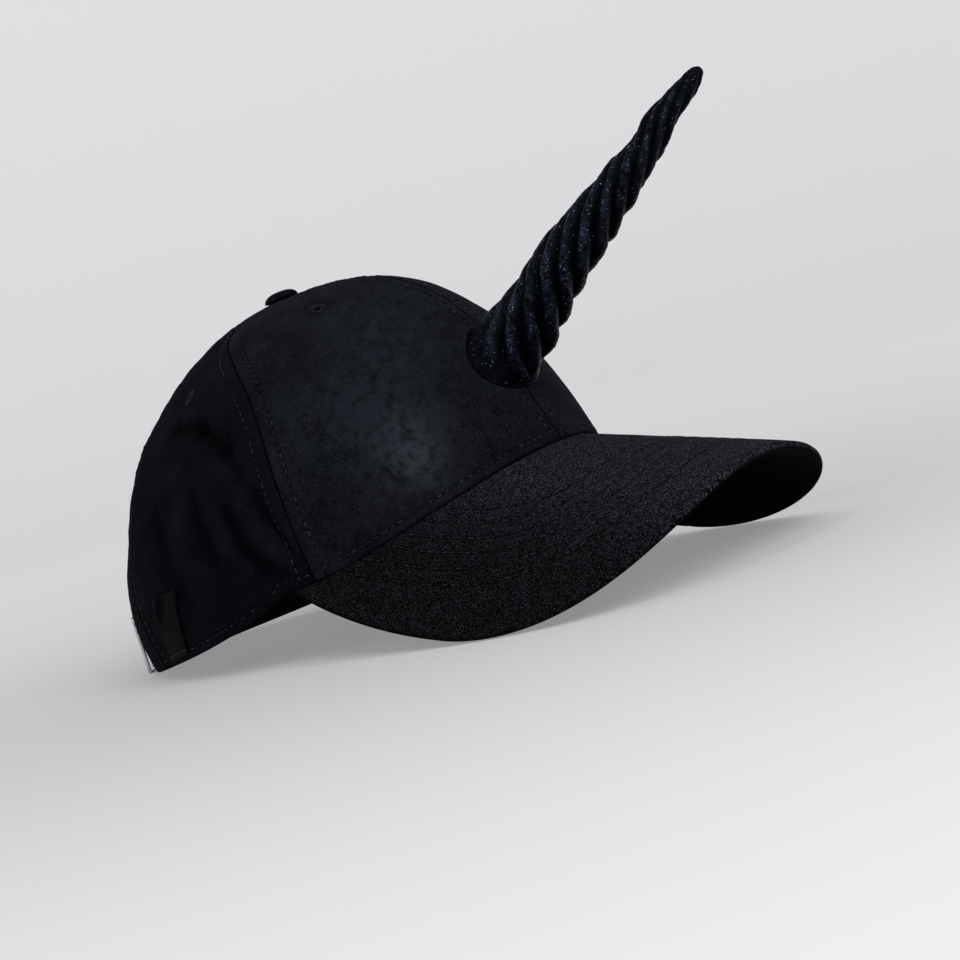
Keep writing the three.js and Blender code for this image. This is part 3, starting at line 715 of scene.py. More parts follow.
def arch_row(side):
    """Stitches that follow the arch, a little way in from its edge."""
    t = np.linspace(0, math.pi / 2, 90)
    across = ARCH_HALF * np.cos(t)
    height = ARCH_HEIGHT * np.sin(t)
    bearing = side * (180 - across)
    share = share_at_height(bearing, height)
    edge = meridian(bearing, share)
    normal = crown_normal(bearing, share)
    ahead = unit(np.gradient(edge, axis=0))
    inward = unit(np.cross(normal, ahead)) * side
    inward = np.where(inward[:, 2:3] + 0.3 * np.abs(inward[:, 0:1]) < 0, -inward, inward)
    moved = edge + inward * ARCH_STITCH
    keep = moved[:, 2] > rim_height(bearing) + RIM_STITCH
    spot_bearing, spot_share = crown_place(moved[keep])
    surface = meridian(spot_bearing, spot_share)
    facing = crown_normal(spot_bearing, spot_share)
    return surface - facing * 0.1, facing


# Eyelets

EYELET_RADIUS = 2.35


def eyelet_piece(name, centre, normal):
    """An embroidered ring of thread round a small hole."""
    bpy.ops.mesh.primitive_torus_add(
        major_segments=112, minor_segments=12, major_radius=EYELET_RADIUS, minor_radius=1.0)
    (x, y, z), faces = taken_shape()
    angle = np.arctan2(y, x)
    flute = 0.5 + 0.5 * np.cos(angle * 28)
    size = 0.86 + 0.14 * flute + 0.03 * np.sin(angle * 5 + 1)
    reach = EYELET_RADIUS + (np.hypot(x, y) - EYELET_RADIUS) * size * 1.08
    normal = unit(normal)
    side = unit(np.cross([0.0, 0.0, 1.0], normal))
    up = np.cross(normal, side)
    across = np.outer(np.cos(angle) * reach, side) + np.outer(np.sin(angle) * reach, up)
    points = centre + across + np.outer(z * size * 0.62, normal)
    return mesh_piece(name, points, faces)


def cut_eyelet(panel):
    """Cuts the eyelet's hole through a panel and gives the ring's place."""
    across, up = panel["eyelet"]
    bearing = panel["bearing"][:, 0]
    wanted = bearing[0] + across * (bearing[-1] - bearing[0])
    column = int(np.argmin(np.abs(bearing - wanted)))
    row = int(np.argmin(np.abs(panel["share"][column] - up)))
    centre = panel["outer"][column, row]
    normal = grid_normal(panel["outer"])[column, row]
    spot = Vector(place(centre))
    facing = Vector(place(centre + normal) - place(centre)).normalized()
    bpy.ops.mesh.primitive_cylinder_add(vertices=24, radius=0.0014, depth=0.012, location=spot)
    drill = bpy.context.active_object
    drill.rotation_mode = "QUATERNION"
    drill.rotation_quaternion = facing.to_track_quat("Z", "Y")
    hole = panel["piece"].modifiers.new("eyelet", "BOOLEAN")
    hole.operation = "DIFFERENCE"
    hole.object = drill
    hole.solver = "EXACT"
    select_only(panel["piece"])
    bpy.ops.object.modifier_apply(modifier=hole.name)
    bpy.data.objects.remove(drill, do_unlink=True)
    return centre, normal


# Visor

VISOR_END_ACROSS = VISOR_RADIUS * math.asin(END_X / VISOR_RADIUS)
VISOR_HALF = VISOR_END_ACROSS + VISOR_WING


def visor_point(around, along, depth):
    angle = around / VISOR_RADIUS
    radius = VISOR_RADIUS - depth
    fall = radius * np.cos(angle) - VISOR_RADIUS
    x = radius * np.sin(angle)
    y = -CROWN_FRONT - math.cos(VISOR_SLOPE) * along - math.sin(VISOR_SLOPE) * fall
    z = VISOR_LIFT - math.sin(VISOR_SLOPE) * along + math.cos(VISOR_SLOPE) * fall
    return np.stack([x + 0 * along, y, z], -1)


def visor_normal(around):
    angle = around / VISOR_RADIUS
    s, c = math.sin(VISOR_SLOPE), math.cos(VISOR_SLOPE)
    return np.stack([np.sin(angle), -s * np.cos(angle), c * np.cos(angle)], -1)


def visor_inner(around):
    seat = CROWN_HALF_WIDTH - CLOTH_WALL
    x = VISOR_RADIUS * np.sin(np.abs(around) / VISOR_RADIUS)
    reach = seat * math.sin(math.radians(VISOR_END_ANGLE))
    def along_of(across, y):
        fall = math.sin(VISOR_SLOPE) * visor_fall(across)
        return (fall - CROWN_FRONT - y) / math.cos(VISOR_SLOPE)
    share = np.clip(1 - (x / seat) ** 2, 0, 1)
    under = along_of(x, -(CROWN_FRONT - CLOTH_WALL) * np.sqrt(share))
    start = VISOR_RADIUS * math.asin(reach / VISOR_RADIUS)
    end = float(along_of(END_X, END_Y))
    wing = np.clip((VISOR_HALF - np.abs(around)) / (VISOR_HALF - start), 0, 1)
    return np.where(x < reach, under, end * wing ** (1 / BACK_POWER))


def visor_outer(around):
    share = np.clip(np.abs(around) / VISOR_HALF, 0, 1)
    return VISOR_LENGTH * (1 - share ** FRONT_CURVE) ** (1 / FRONT_POWER)


def visor_edge(count=420):
    """The visor's outer edge laid flat, as (around, along)."""
    around = VISOR_HALF * np.sin(np.linspace(-math.pi / 2, math.pi / 2, count))
    return np.stack([around, visor_outer(around), 0 * around], -1)


def visor_guide():
    """The line that the visor's rows follow: its outer edge, carried straight back at both ends."""
    back = np.linspace(0, 1, 90)[1:]
    along = -78.0 * back
    around = VISOR_HALF + 0.8 * np.sin(math.pi * np.clip(2.4 * back, 0, 1)) - 2.4 * back ** 2
    tail = np.stack([around, along, 0 * along], -1)
    head = tail[::-1] * [-1, 1, 1]
    return np.concatenate([head, visor_edge(), tail])


def visor_row(margin):
    """A line on the visor's top that runs a fixed distance in from its guide line."""
    edge = visor_guide()
    ahead = unit(np.gradient(edge, axis=0))
    inward = np.stack([ahead[:, 1], -ahead[:, 0], 0 * ahead[:, 0]], -1)
    flat = edge + inward * margin
    away = polyline_distance(flat, edge)
    keep = (away > margin - 0.08) & (flat[:, 1] > visor_inner(flat[:, 0]) + 2.4)
    keep &= np.abs(flat[:, 0]) < VISOR_HALF
    flat = flat[keep]
    facing = visor_normal(flat[:, 0])
    return visor_point(flat[:, 0], flat[:, 1], np.zeros(len(flat))) - facing * 0.12, facing


def make_visor():
    columns = edge_shares([0, 0.1, 0.3, 0.7, 1.2, 1.9], 230, 1.0)
    around = VISOR_HALF * np.sin(np.radians(180 * columns - 90))
    rows = edge_shares([0, 0.06, 0.25, 0.55, 0.95, 1.4, 2.0, 2.7, 3.5], 80, 0.85)
    outer_edge, inner_edge = visor_outer(around), visor_inner(around)
    along = outer_edge[:, None] + (inner_edge - outer_edge)[:, None] * rows[None, :]
    wide = np.repeat(around[:, None], along.shape[1], 1)
    flat = np.stack([wide, along, 0 * wide], -1)
    from_guide = polyline_distance(flat, visor_guide())
    from_edge = polyline_distance(flat, visor_edge())
    from_back = polyline_distance(flat, np.stack([around, inner_edge, 0 * around], -1))
    half = VISOR_THICKNESS / 2
    middle = visor_point(wide, along, np.full(wide.shape, half))
    normal = visor_normal(wide)
    close = rounded(np.minimum(from_edge, from_back), half)
    step = np.interp(from_guide, VISOR_ROW_MARGINS, np.arange(len(VISOR_ROW_MARGINS)))
    nearest = VISOR_ROW_MARGINS[np.round(step).astype(int)]
    pull = 0.7 + 0.3 * along_ripple(lengths(middle, 0))
    groove = bell(from_guide - nearest, 0.62) * pull
    quilt = 0.16 * np.sin(math.pi * step) ** 2
    first_row = VISOR_ROW_MARGINS[0]
    in_rows = smooth(from_guide, first_row - 6, first_row) * smooth(from_back, 0, 3)
    roll = -0.28 * bell(from_edge - 3.0, 0.8)
    top = (quilt - 0.42 * groove) * in_rows + 0.06 * noise(middle, 14, 21)
    under = (0.5 * quilt - 0.34 * groove) * in_rows + roll
    fade = smooth(close, 0, 0.9)
    outer = pushed(middle, normal, close * half + top * fade)
    inner = pushed(middle, -normal, close * half + under * fade)
    uv = np.stack([wide, along], -1) / 100.0
    marks = {
        "seam_gap": from_back[::-1],
        "stitch_gap": np.abs(from_guide - nearest)[::-1],
        # Marks the visor's underside, which the material paints in shade
        "under_side": (np.zeros(wide.shape), np.ones(wide.shape)),
        # Painted shade: the visor is darker towards both sides, where it curves away from the lamps
        "painted_shading_tone": 1 - 0.6 * smooth(np.abs(wide), 26, 72)[::-1],
    }
    piece = soft_wall("visor_cloth", outer[::-1], inner[::-1], uv[::-1], marks)
    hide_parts("visor")
    return piece


# Band, strap, label, button

def meridian_at(bearing, height, depth):
    share = share_at_height(bearing, height)
    return meridian(bearing, share) - crown_normal(bearing, share) * np.asarray(depth)[..., None]


LINER_DEPTH = CLOTH_WALL + PIECE_GAP
STRAP_START = ARCH_CORNER - rim_angle(STRAP_END, ARCH_CORNER)
STRAP_TOP = (STRAP_DROP + STRAP_WIDTH) / ARCH_HEIGHT
ARCH_EDGE = 180 - ARCH_HALF * math.sqrt(1 - STRAP_TOP ** 2)
RAMP_START = ARCH_EDGE + rim_angle(3 * PIECE_GAP, ARCH_EDGE)
RAMP_END = RAMP_START + rim_angle(STRAP_END / 3, ARCH_EDGE)


def strap_depth(bearing):
    turn = 180 - np.abs(180 - bearing)
    return LINER_DEPTH + (PIECE_GAP - LINER_DEPTH) * smooth(turn, RAMP_START, RAMP_END)


def make_strap():
    """Webbing that runs from inside the crown out into the arch, with a sewn hem on both edges."""
    bearing = np.linspace(STRAP_START, 360 - STRAP_START, 190)
    rows = edge_shares([0, 0.07, 0.25, 0.5, 0.9, 1.5], STRAP_WIDTH, 0.7)
    top_height = STRAP_DROP + STRAP_WIDTH
    low = meridian_at(bearing, STRAP_DROP, strap_depth(bearing))
    high = meridian_at(bearing, top_height, strap_depth(bearing))
    face = low[:, None, :] + (high - low)[:, None, :] * rows[None, :, None]
    facing = crown_normal(bearing, share_at_height(bearing, (STRAP_DROP + top_height) / 2))
    normal = np.broadcast_to(facing[:, None, :], face.shape)
    middle = face - normal * STRAP_THICKNESS / 2
    edge, bottom, top = rolled_edge(middle, STRAP_THICKNESS)
    hem = -0.16 * bell(np.minimum(bottom, top) - 2.6, 0.45)
    move = (hem + 0.05 * np.sin(2 * math.pi * bottom / 1.6)) * smooth(edge, 0, 0.9)
    half = edge * STRAP_THICKNESS / 2
    outer, inner = pushed(middle, normal, half + move), pushed(middle, -normal, half)
    piece = soft_wall("strap_webbing", outer, inner, grid_uv(middle))
    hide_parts("back_strap")
    return piece


def make_band():
    """The sweatband: a strip inside the rim with a groove along each hem."""
    end = STRAP_START - rim_angle(2 * PIECE_GAP, STRAP_START)
    bearing = np.linspace(-end, end, 330)
    rows = edge_shares([0, 0.06, 0.2, 0.42, 0.75, 1.2], BAND_HEIGHT, 0.8)
    foot = foot_share(bearing, LINER_DEPTH)
    top = share_at_height(bearing, BAND_HEIGHT)
    share = foot[:, None] + (top - foot)[:, None] * rows[None, :]
    wide = np.repeat(bearing[:, None], share.shape[1], 1)
    normal = crown_normal(wide, share)
    middle = meridian(wide, share) - normal * (LINER_DEPTH + BAND_THICKNESS / 2)
    edge, bottom, high = rolled_edge(middle, BAND_THICKNESS)
    groove = 0.3 * bell(high - 3.0, 0.5) + 0.2 * bell(bottom - 2.4, 0.5)
    ripple = 0.12 * noise(middle, 18, 31) * smooth(high, 0, 4)
    half = edge * BAND_THICKNESS / 2
    sunk = half - (groove + ripple) * smooth(edge, 0, 0.9)
    outer, inner = pushed(middle, normal, half), pushed(middle, -normal, sunk)
    piece = soft_wall("sweatband_cloth", outer, inner, grid_uv(middle))
    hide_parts("sweatband")
    return piece


def make_label():
    """A bare satin tag, folded over itself, with one corner creased."""
    near = [0, 0.05, 0.2, 0.4, 0.8, 1.3]
    columns = edge_shares(near, LABEL_WIDTH, 0.35)
    rows = edge_shares(near, LABEL_HEIGHT, 0.4)
    half = rim_angle(LABEL_WIDTH / 2, LABEL_ANGLE)
    t, r = np.meshgrid(columns, rows, indexing="ij")
    bearing = LABEL_ANGLE - half + 2 * half * t + LABEL_LEAN * r
    share = share_at_height(bearing, STRAP_DROP + r * LABEL_HEIGHT)
    normal = crown_normal(bearing, share)
    base = meridian(bearing, share)
    folds = FOLD_DEPTH * fold_height(bearing, share, BROAD_FOLDS) * 0.42 * smooth(share, 0, 0.03)
    middle = pushed(base, normal, folds + PIECE_GAP + LABEL_THICKNESS / 2)
    edge = rolled_edge(middle, LABEL_THICKNESS)[0]
    x, y = t * LABEL_WIDTH, r * LABEL_HEIGHT
    crease = (x - 2.0) - (y - 12.0) * 0.10
    bend = 0.55 * smooth(-crease, -1.4, 1.4) * smooth(y, 6, 18)
    corner = 0.9 * smooth((LABEL_HEIGHT - y) * -1 + 7 + (4 - x) * 0.6, 0, 5) * smooth(6 - x, 0, 5)
    curl = 0.35 * (1 - np.cos(math.pi * (x / LABEL_WIDTH))) * smooth(y, 2, 22)
    move = bend + corner + 0.3 * curl + 0.05 * np.sin(x * 4.2)
    move = move * smooth(y, 0.2, 5)
    outer = pushed(middle, normal, edge * LABEL_THICKNESS / 2 + move)
    inner = pushed(middle, normal, -edge * LABEL_THICKNESS / 2 + move)
    piece = soft_wall("side_tag", outer, inner, grid_uv(middle))
    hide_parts("side_label")
    sewn = int(np.argmin(np.abs(y[0] - 1.6)))
    return piece, (outer[3:-3, sewn], normal[3:-3, sewn])


def make_button():
    """The covered button: a domed disc of cloth with its post under it."""
    bpy.ops.mesh.primitive_uv_sphere_add(segments=64, ring_count=40, radius=1.0)
    (x, y, z), faces = taken_shape()
    angle = np.arctan2(y, x)
    height = np.where(z > 0, z * 2.9, z * 0.5) + 0.5
    tuck = 1 + 0.012 * np.cos(6 * angle + 0.4) + 0.006 * np.cos(11 * angle)
    post = (z <= 0) & (np.hypot(x, y) < 0.32)
    height = np.where(post, -5.6, height)
    reach = np.hypot(x, y) ** 0.72 * np.where(post, 0.5, 1.0) * 6.5 * tuck
    local = np.stack([np.cos(angle) * reach, np.sin(angle) * reach, height], -1)
    local[:, 2] += CROWN_HEIGHT + PIECE_GAP
    uv = local[np.concatenate(faces), :2] / 100.0
    piece = mesh_piece("crown_button", local, faces, uv)
    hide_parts("top_button")
    return piece


def make_buckle():
    """The slide: the solid's own form with its edges rounded over."""
    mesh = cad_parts["strap_buckle"].data.copy()
    mesh.name = "slide_buckle"
    piece = added("slide_buckle", mesh)
    mesh.materials.clear()
    shape = bmesh.new()
    shape.from_mesh(mesh)
    bmesh.ops.remove_doubles(shape, verts=shape.verts, dist=1e-6)
    bmesh.ops.dissolve_limit(
        shape, angle_limit=math.radians(2), verts=shape.verts, edges=shape.edges)
    shape.to_mesh(mesh)
    shape.free()
    select_only(piece)
    soften = piece.modifiers.new("soften", "BEVEL")
    soften.width = 0.00028
    soften.segments = 3
    soften.limit_method = "ANGLE"
    soften.angle_limit = math.radians(35)
    bpy.ops.object.modifier_apply(modifier="soften")
    bpy.ops.object.shade_smooth_by_angle(angle=math.radians(40))
    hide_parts("strap_buckle")
    return piece


# Horn

HORN_SECTIONS = np.array([
    (0.0, 1.0), (0.04, 0.89), (0.1, 0.77), (0.2, 0.70), (0.33, 0.64), (0.48, 0.575),
    (0.62, 0.455), (0.74, 0.39), (0.86, 0.295), (0.96, 0.22), (1.0, 0.12),
])
ROPE_DEPTH = 1.3
TIP_START = 0.965
HORN_BEND = np.array([
    (0.0, 0.0), (0.2, 0.0), (0.34, -1.3), (0.48, -0.4), (0.6, 0.1), (0.73, 0.8), (0.86, 0.1),
    (1.0, 1.2),
])
HORN_SAG = np.array([0.42, -0.415, -0.807])
HORN_BASE = meridian(0.0, HORN_PLACE)
HORN_AXIS = np.array([0, -math.cos(HORN_RISE), math.sin(HORN_RISE)])
HORN_RIGHT = np.array([1.0, 0, 0])
HORN_UP = np.cross(HORN_AXIS, HORN_RIGHT)


def horn_point(angle, radius, along):
    point = HORN_BASE + np.asarray(along)[..., None] * HORN_AXIS
    point = point + (np.cos(angle) * radius)[..., None] * HORN_RIGHT
    return point + (np.sin(angle) * radius)[..., None] * HORN_UP


def outside_crown(points):
    bearing, share = crown_place(points)
    wall = meridian(bearing, share)
    return np.hypot(points[..., 0], points[..., 1]) - np.hypot(wall[..., 0], wall[..., 1])


def skirt_seat(angle, radius):
    seat = solve(-HORN_RADIUS * np.ones(angle.shape), HORN_RADIUS,
                 lambda along: outside_crown(horn_point(angle, radius, along)))
    return seat + PIECE_GAP / math.cos(HORN_RISE)


def seat_table(angle, radius):
    """Skirt seats over a whole grid, eased between a few rings."""
    rings = np.linspace(1.0, HORN_RADIUS, 9)
    known = np.stack([skirt_seat(angle, np.full(angle.shape, ring))[0] for ring in rings])
    spot = np.clip((radius[:, 0] - rings[0]) / (rings[1] - rings[0]), 0, len(rings) - 1.001)
    low = spot.astype(int)
    part = (spot - low)[:, None]
    return known[low] * (1 - part) + known[low + 1] * part


def eased(before, values, after):
    """Values smoothed over a window that reaches as far as what is set before and after them."""
    kernel = np.hanning(2 * len(before) + 1)
    return np.convolve(np.concatenate([before, values, after]), kernel / kernel.sum(), "valid")


def horn_taper(share):
    fine = np.linspace(0, 1, 401)
    raw = np.interp(fine, *HORN_SECTIONS.T)
    soft = eased(2 * raw[0] - raw[20:0:-1], raw, 2 * raw[-1] - raw[-2:-22:-1])
    mix = smooth(fine, 0.03, 0.12) * (1 - smooth(fine, 0.93, 0.99))
    return np.interp(share, fine, raw + (soft - raw) * mix) * HORN_RADIUS


def rope_section(phase):
    """Radius of a rope of fat strands, as a share of its greatest, over one strand's turn."""
    away = (np.mod(phase / (2 * math.pi) + 0.5, 1) - 0.5) * 2 * math.pi / HORN_RIBS
    inside = np.maximum(0.25 - np.sin(away) ** 2, 0)
    return 1 - ROPE_DEPTH * (1 - (np.cos(away) + np.sqrt(inside)) / 1.5)


def horn_bend(share):
    """How far the soft horn strays from a straight axis."""
    spots = np.linspace(0, 1.02, 205)
    raw = np.interp(spots, *HORN_BEND.T)
    return np.interp(share, spots, eased(np.full(11, raw[0]), raw, np.full(11, raw[-1])))


def make_horn():
    """A tube of fat twisted ribs with a flared foot that lies on the crown and a rounded tip."""
    around = 259
    angle = np.linspace(0, 2 * math.pi, around + 1)[:-1][None, :]
    share = np.concatenate([[0, 0.0015, 0.004, 0.008, 0.013, 0.02], np.linspace(0.026, TIP_START, 306)])
    cap_turn = np.linspace(0, math.pi / 2, 19)[1:]
    tip_radius = horn_taper(np.array([TIP_START]))[0] * np.cos(cap_turn)
    radius = np.concatenate([horn_taper(share), tip_radius])[:, None]
    share = np.concatenate([share, TIP_START + 0.05 * np.sin(cap_turn)])[:, None]
    turn = angle + 2 * math.pi * share * HORN_LENGTH / HORN_LEAD
    strand = np.round(turn * HORN_RIBS / (2 * math.pi))
    uneven = 0.10 * np.sin(share * 9 + 1.7 * np.mod(strand, HORN_RIBS))
    wobble = 0.22 * np.sin(3.1 * share * 8 + angle) + 0.14 * np.sin(share * 61 + 2 * angle)
    section = rope_section(HORN_RIBS * turn + wobble)
    strength = smooth(share, 0.015, 0.09) * (1 - 0.5 * smooth(share, 0.90, 0.985))
    strength = strength * (1 - 0.25 * smooth(share, 0.5, 0.8))
    seats = seat_table(angle, radius)
    blend = smooth(share, 0, 0.22)
    along = share * HORN_LENGTH + seats * (1 - blend)
    spots = horn_point(angle + 0 * radius, radius + 0 * angle, along + 0 * angle)
    lump = 0.45 * noise(spots, 15, 40) + 0.22 * noise(spots, 8, 41)
    crust = 0.075 * noise(spots, 2.2, 42)
    full = radius * (1.03 * (1 - strength) + strength * 1.10 * section * (1 + uneven * (section - 0.7)))
    pleats = 0.35 * np.cos(HORN_RIBS * turn + 1.2) * smooth(share, 0.004, 0.04) * (1 - strength)
    gathers = (lump + crust) * smooth(share, 0.0, 0.05) * np.minimum(radius / 4, 1)
    full = np.maximum(full + pleats + gathers, 0.0)
    tucked = 0.12 * np.maximum(np.cos(angle + math.radians(105)), 0) ** 2
    full = full * (1 - tucked * (1 - smooth(share, 0.02, 0.12)))
    # Painted highlight: crests on the side that faces the lamps are marked for a paler colour and more
    # bright flakes
    facing = 0.35 + 0.65 * smooth(np.cos(angle - math.radians(150)), -0.2, 0.8)
    crest = smooth(section, 0.90, 0.995) * strength * facing
    grid = horn_point(angle, full, along + 0 * full)
    grid = grid + (horn_bend(share) + 0 * angle)[..., None] * HORN_SAG
    # The foot turns under to a thin lip and closes over the crown
    rings = []
    lip = horn_taper(np.array([0.0]))[0] * (1 - tucked)
    for part, lift in (
            (0.02, 0), (0.35, 0), (0.7, 0), (0.93, 0), (0.985, 0), (1.012, 0.25), (1.015, 0.75)):
        rings.append(horn_point(angle, lip * part, skirt_seat(angle, lip * part) + lift))
    points = np.concatenate([*rings, grid[1:]])
    index = np.arange(len(points) * around).reshape(-1, around)
    nxt = np.roll(index, -1, axis=1)
    quads = np.stack([index[:-1], nxt[:-1], nxt[1:], index[1:]], -1).reshape(-1, 4)
    foot = index.size
    flat = np.concatenate([points.reshape(-1, 3), [points[0].mean(0), points[-1].mean(0)]])
    faces = quads.tolist()
    faces += [[foot, int(nxt[0, i]), int(index[0, i])] for i in range(around)]
    faces += [[foot + 1, int(index[-1, i]), int(nxt[-1, i])] for i in range(around)]
    marks = {"crest": np.concatenate([np.zeros((len(rings) - 1) * around), crest.ravel(), np.zeros(2)])}
    piece = weld(mesh_piece("glitter_horn", flat, faces, marks=marks), 1e-7)
    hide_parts("horn")
    return piece


# Materials

def node(tree, kind, inputs=None, **settings):
    """A shader node. An input is a plain value, or the output of another node."""
    made = tree.nodes.new(kind if kind.startswith("NodeGroup") else "ShaderNode" + kind)
    for key, value in settings.items():
        setattr(made, key, value)
    for key, value in (inputs or {}).items():
        if isinstance(value, bpy.types.NodeSocket):
            tree.links.new(value, made.inputs[key])
        else:
            made.inputs[key].default_value = value
    return made


def maths(tree, operation, *values, clamp=False):
    return node(tree, "Math", dict(enumerate(values)), operation=operation, use_clamp=clamp).outputs[0]


def falling_off(tree, share):
    """1 where the share is 0, less and less away from it."""
    return maths(tree, "EXPONENT", maths(tree, "MULTIPLY", maths(tree, "MULTIPLY", share, share), -1.0))


def spread(tree, value, low, high, least=0.0, most=1.0):
    return node(tree, "MapRange", {
        "Value": value, "From Min": low, "From Max": high, "To Min": least, "To Max": most}).outputs[0]


def over(tree, share, base, colour):
    """A colour laid over a base by a share."""
    return node(tree, "Mix", {0: share, 6: base, 7: (*colour, 1)}, data_type="RGBA").outputs[2]


def object_place(tree):
    return node(tree, "TexCoord").outputs["Object"]


def mark(tree, name):
    return node(tree, "Attribute", attribute_name=name).outputs["Fac"]


def colour_ramp(tree, value, *stops):
    ramp = node(tree, "ValToRGB", {0: value})
    elements = ramp.color_ramp.elements
    while len(elements) < len(stops):
        elements.new(0.5)
    for element, (spot, colour) in zip(elements, stops):
        element.position = spot
        element.color = (*colour, 1)
    return ramp.outputs[0]


def new_group(name, inputs, outputs):
    """A node group that the materials share, with its ends and what links and sums in it. An
    input with no value is a place."""
    group = bpy.data.node_groups.new(name, "ShaderNodeTree")
    for key, value in inputs.items():
        kind = "NodeSocketVector" if value is None else "NodeSocketFloat"
        socket = group.interface.new_socket(name=key, in_out="INPUT", socket_type=kind)
        if value is not None:
            socket.default_value = value
    for key in outputs:
        kind = "NodeSocketVector" if key == "Normal" else "NodeSocketFloat"
        group.interface.new_socket(name=key, in_out="OUTPUT", socket_type=kind)
    start = node(group, "NodeGroupInput").outputs
    end = node(group, "NodeGroupOutput").inputs
    return group, start, end, group.links.new, lambda *rest, **more: maths(group, *rest, **more)


def twill_group():
    """Diagonal ribs of twill over a cloth map in decimetres, with uneven yarns."""
    group, start, end, link, sums = new_group("twill_weave", {
        "Place": None, "Ribs per dm": 140.0, "Unevenness": 0.35, "Cells per rib": 2.1,
    }, ["Height", "Speckle"])
    ribs, spot = start["Ribs per dm"], start["Place"]
    x, y = node(group, "SeparateXYZ", {0: spot}).outputs[:2]
    stray = node(group, "TexNoise", {"Vector": spot, "Scale": 60}).outputs["Fac"]
    shift = sums("MULTIPLY", sums("SUBTRACT", stray, 0.5), 0.012)
    diagonal = sums("ADD", sums("ADD", x, y), shift)
    turn = sums("MULTIPLY", ribs, 2 * math.pi)
    rib = sums("SINE", sums("MULTIPLY", diagonal, turn))
    yarn = sums("SINE", sums("MULTIPLY", sums("MULTIPLY", sums("SUBTRACT", x, y), turn), 1.7))
    both = sums("ADD", sums("MULTIPLY", rib, 0.34), sums("MULTIPLY", yarn, 0.16))
    fuzz = node(group, "TexNoise", {"Detail": 3, "Vector": spot, "Scale": sums("MULTIPLY", ribs, 2.2)})
    rough = sums("MULTIPLY", sums("SUBTRACT", fuzz.outputs["Fac"], 0.5),
                 sums("MULTIPLY", start["Unevenness"], 4.0))
    link(sums("ADD", sums("ADD", both, rough), 0.5), end["Height"])
    dots = node(group, "TexVoronoi", {
        "Vector": spot, "Scale": sums("MULTIPLY", ribs, start["Cells per rib"])}, feature="F1")
    bright = sums("POWER", node(group, "SeparateColor", {0: dots.outputs["Color"]}).outputs[0], 3.5)
    link(sums("MULTIPLY", bright, sums("ADD", sums("MULTIPLY", rib, 0.3), 0.7)), end["Speckle"])
    return group


def nap_group():
    """Soft patches where the cloth's nap lies one way or another."""
    group, start, end, link, _ = new_group(
        "brushed_nap", {"Place": None, "Patch scale": 40.0}, ["Patches"])
    patches = node(group, "TexNoise", {
        "Vector": start["Place"], "Scale": start["Patch scale"], "Detail": 5, "Roughness": 0.70})
    link(spread(group, patches.outputs["Fac"], 0.34, 0.66), end["Patches"])
    return group


def patch_mask_group():
    """A patch of another tone in fine blotches that thin out round it: a painted highlight, painted shade
    or a patch of nap.
    """
    group, start, end, link, sums = new_group(
        "light_and_tone_patch", {"Place": None, "Centre": None, "Reach": 0.03}, ["Mask"])
    away = node(group, "VectorMath", {0: start["Place"], 1: start["Centre"]}, operation="DISTANCE")
    fall = falling_off(group, sums("DIVIDE", away.outputs["Value"], start["Reach"]))
    blotch = node(group, "TexNoise", {
        "Vector": start["Place"], "Scale": 250, "Detail": 6, "Roughness": 0.72})
    blotches = spread(group, blotch.outputs["Fac"], 0.39, 0.65, 0.05)
    link(sums("MULTIPLY", fall, blotches, clamp=True), end["Mask"])
    return group


def sewn_group():
    """Lines where cloth is sewn down: 1 in the line and 0 away from it."""
    group, start, end, link, sums = new_group("sewn_line", {"Gap": 0.0, "Reach": 0.6}, ["Line"])
    link(falling_off(group, sums("DIVIDE", start["Gap"], start["Reach"])), end["Line"])
    return group


TWILL, NAP, PATCH_MASK, SEWN = twill_group(), nap_group(), patch_mask_group(), sewn_group()
SEWN_SHADE = (0.0004, 0.0004, 0.0006)
SEWN_DARKNESS = 0.85


def new_material(name, roughness, specular, metallic=0.0):
    material = bpy.data.materials.new(name)
    material.use_nodes = True
    tree = material.node_tree
    shader = tree.nodes["Principled BSDF"].inputs
    shader["Roughness"].default_value = roughness
    shader["Specular IOR Level"].default_value = specular
    shader["Metallic"].default_value = metallic
    return material, tree, shader, tree.links.new


def add_bump(tree, shader, height, strength, distance):
    bump = node(tree, "Bump", {"Strength": strength, "Distance": distance, "Height": height})
    tree.links.new(bump.outputs[0], shader["Normal"])


